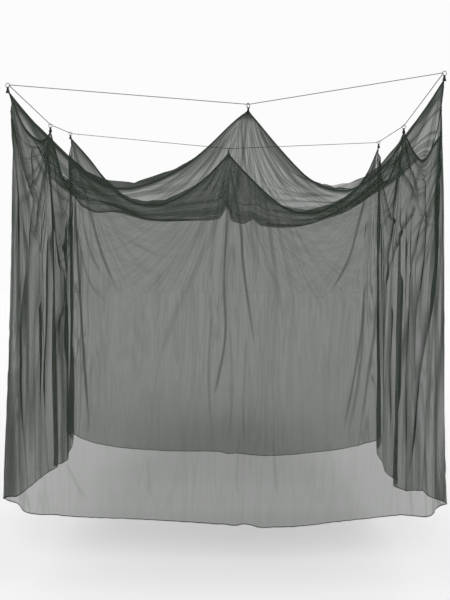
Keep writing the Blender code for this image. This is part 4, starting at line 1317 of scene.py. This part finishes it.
def build_net(finishes):
    """The five panels, hung, settled and finished. Gives the line of their top edge."""
    hung = {f"wall_{side}": hung_wall(side) for side in SIDES}
    hung["roof"] = hung_roof()
    plan = cut_plan()
    points, flats, grids = sew(hung, plan)
    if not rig.quick():
        points = settle(points, flats, grids)
    points = drawn_to_edge(points, grids)
    x, y, z = points.T
    points[:, 0] -= (CORNER_DRAWN_IN * smoothstep(z, *DRAWN_IN_Z) * smoothstep(x, *DRAWN_IN_X)
                     * smoothstep(y, *DRAWN_IN_Y))
    points = points - np.array(HOOK_MIDDLE)
    for name, numbers in grids.items():
        places = points[numbers]
        wall = name != "roof"
        if wall:
            side = name[5:]
            run = np.broadcast_to(sewn_along(side), numbers.shape)
            flat = np.stack((run, plan[name][..., 2]), -1)
            fans, share, crinkled = wall_fans(side, flat)
            if side in ("left", "right"):
                places = flatter_pleats(places, np.array((*OUTWARD[side], 0.0)))
            cut = (float(run[0, -1]), WALL_CUT)
        else:
            flat = plan[name][..., :2]
            fans, share, crinkled = roof_fans(flat)
            places = dressed_roof(places)
            cut = (float(np.ptp(flat[..., 0])), float(sewn_along("right")[-1]))
        bunched = bunching(places, flat) if wall else np.full(share.shape, ROOF_PLAIN)
        fields = np.stack((share, bunched, crinkled), -1)
        grid = np.concatenate((places, flat, *fans, fields), -1)
        sheet = panel(name, grid, finishes)
        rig.ride(sheet, "root")
        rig.replaces(sheet, name)
        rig.slot(sheet, "net")
        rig.sheet(sheet, flat=cut, held="hung")
    return points[np.concatenate([grids[f"wall_{side}"][0][:-1] for side in SIDES])]


# ---------------------------------------------------------------- trim

TAPE_WIDTH = 0.007
BINDING_TALL = 0.0042
BINDING_THICK = 0.0018
# The section of the folded tape: across in shares of its thickness, up in shares of its height.
BINDING_CORNERS = ((-0.35, 0.0), (-0.5, -0.15), (-0.5, -0.85), (-0.35, -1.0),
                   (0.35, -1.0), (0.5, -0.85), (0.5, -0.15), (0.35, 0.0))
BINDING_FACE = 0.0015         # on its UV map, each face round its section
PATCH_WIDE = 0.013            # the sewn patch under a loop
PATCH_TALL = 0.012
RING_STEPS = 64
WIRE_STEPS = 16               # round its section
WELD = ((0.0, 0.0006, 1.14), (0.0007, 0.0012, 0.92))       # from x, to x, and how much thicker
LOOP_FOOT = LOOP_RISE - 0.0012
LEG = 0.0024                  # from the middle to each leg of a loop
LEG_TOP = 0.0003              # where the legs leave the bend
LEG_START = 0.0016            # the first short length of tape under the bend
BEND_STEPS = 10
FLARE = 1.35                  # how much wider the tape is a quarter of the way down its patch
# Each leg on its way down: how far it moves out, how far down, and how much wider it gets.
LegStep = namedtuple("LegStep", "out down wider")
LEG_STEPS = table(LegStep, (-0.0013, 0.0022, 1.0), (-0.0004, 0.0030, 1.0), (0.0, LOOP_FOOT - 0.0065, 1.0),
                  (0.0008, PATCH_TALL * 0.25, FLARE),
                  (0.0012, PATCH_TALL * 0.75, PATCH_WIDE / TAPE_WIDTH / FLARE))
TAPE_THICK = 0.0009
TAPE_ROUNDED = 0.0002
NEARLY = 1e-5
CORD_SIDES = 12
KNOT_STEPS = 72
TREFOIL_RADIUS = 3.0
KNOT_FLAT = 0.9               # along X
KNOT_TIGHT = 0.85             # the cord is pressed this much thinner in its knot


def build_binding(edge, finish):
    """The tape folded over the top edge and sewn down, all the way round."""
    count = len(edge)
    points, uvs, along = [], [], 0.0
    corners = BINDING_CORNERS + BINDING_CORNERS[:1]
    for k in range(count + 1):
        here, before, after = (Vector(edge[j % count]) for j in (k, k - 1, k + 1))
        along += (here - before).length if k else 0.0
        way = (after - before).normalized()
        out = Vector((way.y, -way.x, 0.0)).normalized()
        up = out.cross(way)
        up = up if up.z > 0 else -up
        for j, (wide, tall) in enumerate(corners):
            points.append(here + out * wide * BINDING_THICK + up * (tall * BINDING_TALL + BINDING_THICK / 2))
            uvs.append((along, j * BINDING_FACE))
    faces = grid_faces(count + 1, len(corners))
    tape = mesh_piece("top_edge_tape", points, faces, {"along": uvs}, [finish])
    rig.ride(tape, "root")
    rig.replaces(tape, "top_binding")
    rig.slot(tape, "binding_tape")


def deselected():
    """Nothing selected and nothing in edit mode, before a new primitive is added."""
    if bpy.context.mode != "OBJECT":
        bpy.ops.object.mode_set(mode="OBJECT")
    bpy.ops.object.select_all(action="DESELECT")


def picked(mesh, test):
    """Select the vertices of the mesh in edit mode that pass a test of their place."""
    edit = bmesh.from_edit_mesh(mesh)
    for vert in edit.verts:
        vert.select = test(vert.co)
    edit.select_flush_mode()
    bmesh.update_edit_mesh(mesh)


def model_ring(finish):
    """One wire ring about the origin, upright and facing the front, closed by a small weld on top."""
    deselected()
    bpy.ops.mesh.primitive_torus_add(major_radius=RING_RADIUS, minor_radius=RING_WIRE / 2,
                                     major_segments=RING_STEPS, minor_segments=WIRE_STEPS,
                                     rotation=(math.pi / 2, 0, 0))
    ring = bpy.context.object
    bpy.ops.object.transform_apply(location=False, rotation=True, scale=False)
    bpy.ops.object.mode_set(mode="EDIT")
    for nearest, farthest, thicker in WELD:
        picked(ring.data, lambda place: place.z > 0 and nearest <= abs(place.x) < farthest)
        bpy.ops.transform.resize(value=(1.0, thicker, 1.0))
        bpy.ops.mesh.select_all(action="DESELECT")
    bpy.ops.mesh.select_all(action="SELECT")
    bpy.ops.mesh.normals_make_consistent(inside=False)
    bpy.ops.object.mode_set(mode="OBJECT")
    bpy.ops.object.shade_smooth()
    ring.data.materials.append(finish)
    return ring


def model_loop(finish):
    """One tape loop about the middle of the ring's lowest wire, with the patch that sews it on."""
    deselected()
    middle = (0.0, -LEG, LEG_TOP - LEG_START / 2)
    bpy.ops.mesh.primitive_plane_add(size=1.0, location=middle, rotation=(math.pi / 2, 0, 0))
    loop = bpy.context.object
    bpy.ops.object.transform_apply(location=True, rotation=True, scale=False)
    bpy.ops.object.mode_set(mode="EDIT")
    bpy.ops.mesh.select_all(action="SELECT")
    bpy.ops.transform.resize(value=(TAPE_WIDTH, 1.0, LEG_START), center_override=middle)
    bpy.ops.mesh.select_mode(type="VERT")
    picked(loop.data, lambda place: place.z > middle[2])
    bpy.ops.mesh.spin(steps=BEND_STEPS, angle=-math.pi, center=(0.0, 0.0, LEG_TOP), axis=(1.0, 0.0, 0.0))
    bpy.ops.mesh.select_all(action="DESELECT")
    picked(loop.data, lambda place: place.y > LEG * 0.9 and place.z < LEG_TOP + NEARLY)
    bpy.ops.mesh.extrude_region_move(TRANSFORM_OT_translate={"value": (0.0, 0.0, -LEG_START)})
    for side in (1, -1):
        for step in LEG_STEPS:
            lowest = min(vert.co.z for vert in bmesh.from_edit_mesh(loop.data).verts if vert.co.y * side > 0)
            picked(loop.data, lambda place: place.y * side > 0 and place.z < lowest + NEARLY)
            move = {"value": (0.0, side * step.out, -step.down)}
            bpy.ops.mesh.extrude_region_move(TRANSFORM_OT_translate=move)
            bpy.ops.transform.resize(value=(step.wider, 1.0, 1.0))
    bpy.ops.mesh.select_all(action="SELECT")
    bpy.ops.mesh.normals_make_consistent(inside=False)
    bpy.ops.mesh.subdivide(number_cuts=1)
    bpy.ops.object.mode_set(mode="OBJECT")
    thick = loop.modifiers.new("thick", "SOLIDIFY")
    thick.thickness = TAPE_THICK
    thick.offset = 0.0
    rounded = loop.modifiers.new("rounded", "BEVEL")
    rounded.width = TAPE_ROUNDED
    rounded.segments = 2
    for modifier in ("thick", "rounded"):
        bpy.ops.object.modifier_apply(modifier=modifier)
    bpy.ops.object.shade_smooth()
    loop.data.materials.clear()
    loop.data.materials.append(finish)
    layer = loop.data.uv_layers.get("tape") or loop.data.uv_layers.new(name="tape")
    for corner, data in zip(loop.data.loops, layer.data):
        place = loop.data.vertices[corner.vertex_index].co
        data.uv = (place.x, place.z)
    return loop


def placed_copy(model, name, matrix):
    """A copy of a model with its own mesh, its place in the mesh."""
    mesh = model.data.copy()
    mesh.name = name
    mesh.transform(matrix)
    made = bpy.data.objects.new(name, mesh)
    bpy.context.collection.objects.link(made)
    return made


def build_trim(ring_finish, loop_finish):
    """The eight rings and the eight loops that carry them."""
    ring_model, loop_model = model_ring(ring_finish), model_loop(loop_finish)
    for name, hang in HANG_POINTS.items():
        turned = Matrix.Rotation(math.radians(hang.ring_turn), 4, "Z")
        middle = ring_middle(name)
        ring = placed_copy(ring_model, f"wire_ring_{name}", Matrix.Translation(middle) @ turned)
        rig.ride(ring, "root")
        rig.replaces(ring, f"ring_{name}")
        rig.slot(ring, "ring_metal")
        foot = Matrix.Translation(middle - Vector((0, 0, RING_RADIUS)))
        loop = placed_copy(loop_model, f"tape_loop_{name}", foot @ turned)
        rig.ride(loop, "root")
        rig.replaces(loop, f"loop_{name}")
        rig.slot(loop, "loop_tape")
    for model in (ring_model, loop_model):
        bpy.data.objects.remove(model)


def build_knot(middle, finish):
    """The knot that joins the cord's two ends, a trefoil drawn tight."""
    path = []
    for k in range(KNOT_STEPS):
        turn = 2 * math.pi * k / KNOT_STEPS
        place = Vector((-math.sin(3 * turn) * KNOT_FLAT, math.sin(turn) + 2 * math.sin(2 * turn),
                        math.cos(turn) - 2 * math.cos(2 * turn)))
        path.append(middle + place * (KNOT_RADIUS - CORD_DIAMETER / 2) / TREFOIL_RADIUS)
    knot = tube("cord_knot_tied", path, CORD_DIAMETER / 2 * KNOT_TIGHT, CORD_SIDES, finish, closed=True)
    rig.ride(knot, "root")
    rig.replaces(knot, "cord_knot")
    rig.slot(knot, "cord_fibre")
    return knot


# ---------------------------------------------------------------- floor and light

FLOOR_BELOW_HEM = 0.25
FLOOR_SIZE = 200
NET_SEEN_THROUGH = 32         # layers
PALE_FLOOR = (0.985, 0.985, 0.985, 1.0)
PALE_ROOM = (0.97, 0.97, 0.97, 1.0)
ROOM_LIGHT = 0.55
LAMP_PLACE = (0.0, -4.0, 1.0)
LAMP_UP = 17.0                # degrees above level
LAMP_WIDE = 45.0              # degrees across, so its shadows are soft
LAMP_STRENGTH = 4.9


def add_studio():
    """A pale floor under the hem, a dim pale room and one wide soft lamp in front."""
    bpy.ops.mesh.primitive_plane_add(size=FLOOR_SIZE, location=hook_frame((0, 0, -FLOOR_BELOW_HEM)))
    floor = bpy.context.object
    floor.name = "floor"
    floor.data.transform(floor.matrix_world)
    floor.matrix_world = Matrix.Identity(4)
    floor.data.materials.append(new_material("pale floor", Base_Color=PALE_FLOOR, Roughness=1.0,
                                             Specular_IOR_Level=0.0)[0])
    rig.stage(floor)
    world = bpy.data.worlds.new("studio")
    world.use_nodes = True
    node = tools_for(world.node_tree)[0]
    room = world.node_tree.nodes["Background"]
    room.inputs["Color"].default_value = PALE_ROOM
    room.inputs["Strength"].default_value = ROOM_LIGHT
    either = node("ShaderNodeMixShader").inputs
    link(either[0], node("ShaderNodeLightPath").outputs["Is Camera Ray"])
    link(either[1], room.outputs[0])
    link(either[2], node("ShaderNodeBackground", Color=PALE_ROOM).outputs[0])
    link(world.node_tree.nodes["World Output"].inputs[0], either[0].node.outputs[0])
    bpy.ops.object.light_add(type="SUN", location=LAMP_PLACE, rotation=(math.radians(90 - LAMP_UP), 0.0, 0.0))
    lamp = bpy.context.object
    lamp.name = "wide_front_light"
    lamp.data.energy = LAMP_STRENGTH
    lamp.data.angle = math.radians(LAMP_WIDE)
    scene = bpy.context.scene
    scene.world = world
    scene.view_settings.view_transform = "Standard"
    scene.cycles.transparent_max_bounces = NET_SEEN_THROUGH


add_camera()
weave, creases = weave_group(), crease_group()
build_cord(woven_material("cord fibre", *CORD_GREYS, weave, "along", *CORD_THREADS))
net = net_material("net", NET_PASSES, NET_GREEN, creases, weave)
hem = net_material("net hem", HEM_PASSES, HEM_GREEN, creases, weave)
edge = build_net([net, hem])
build_binding(edge, woven_material("binding tape", *BINDING_GREENS, weave, "along", *BINDING_THREADS))
build_trim(wire_material("ring metal"),
           woven_material("loop tape", *LOOP_BLACKS, weave, "tape", *LOOP_THREADS))
add_studio()

with open("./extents.json", "w") as sizes:
    json.dump({"cad": CAD_BOX, "visual": [list(corner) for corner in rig.bounds()]}, sizes)
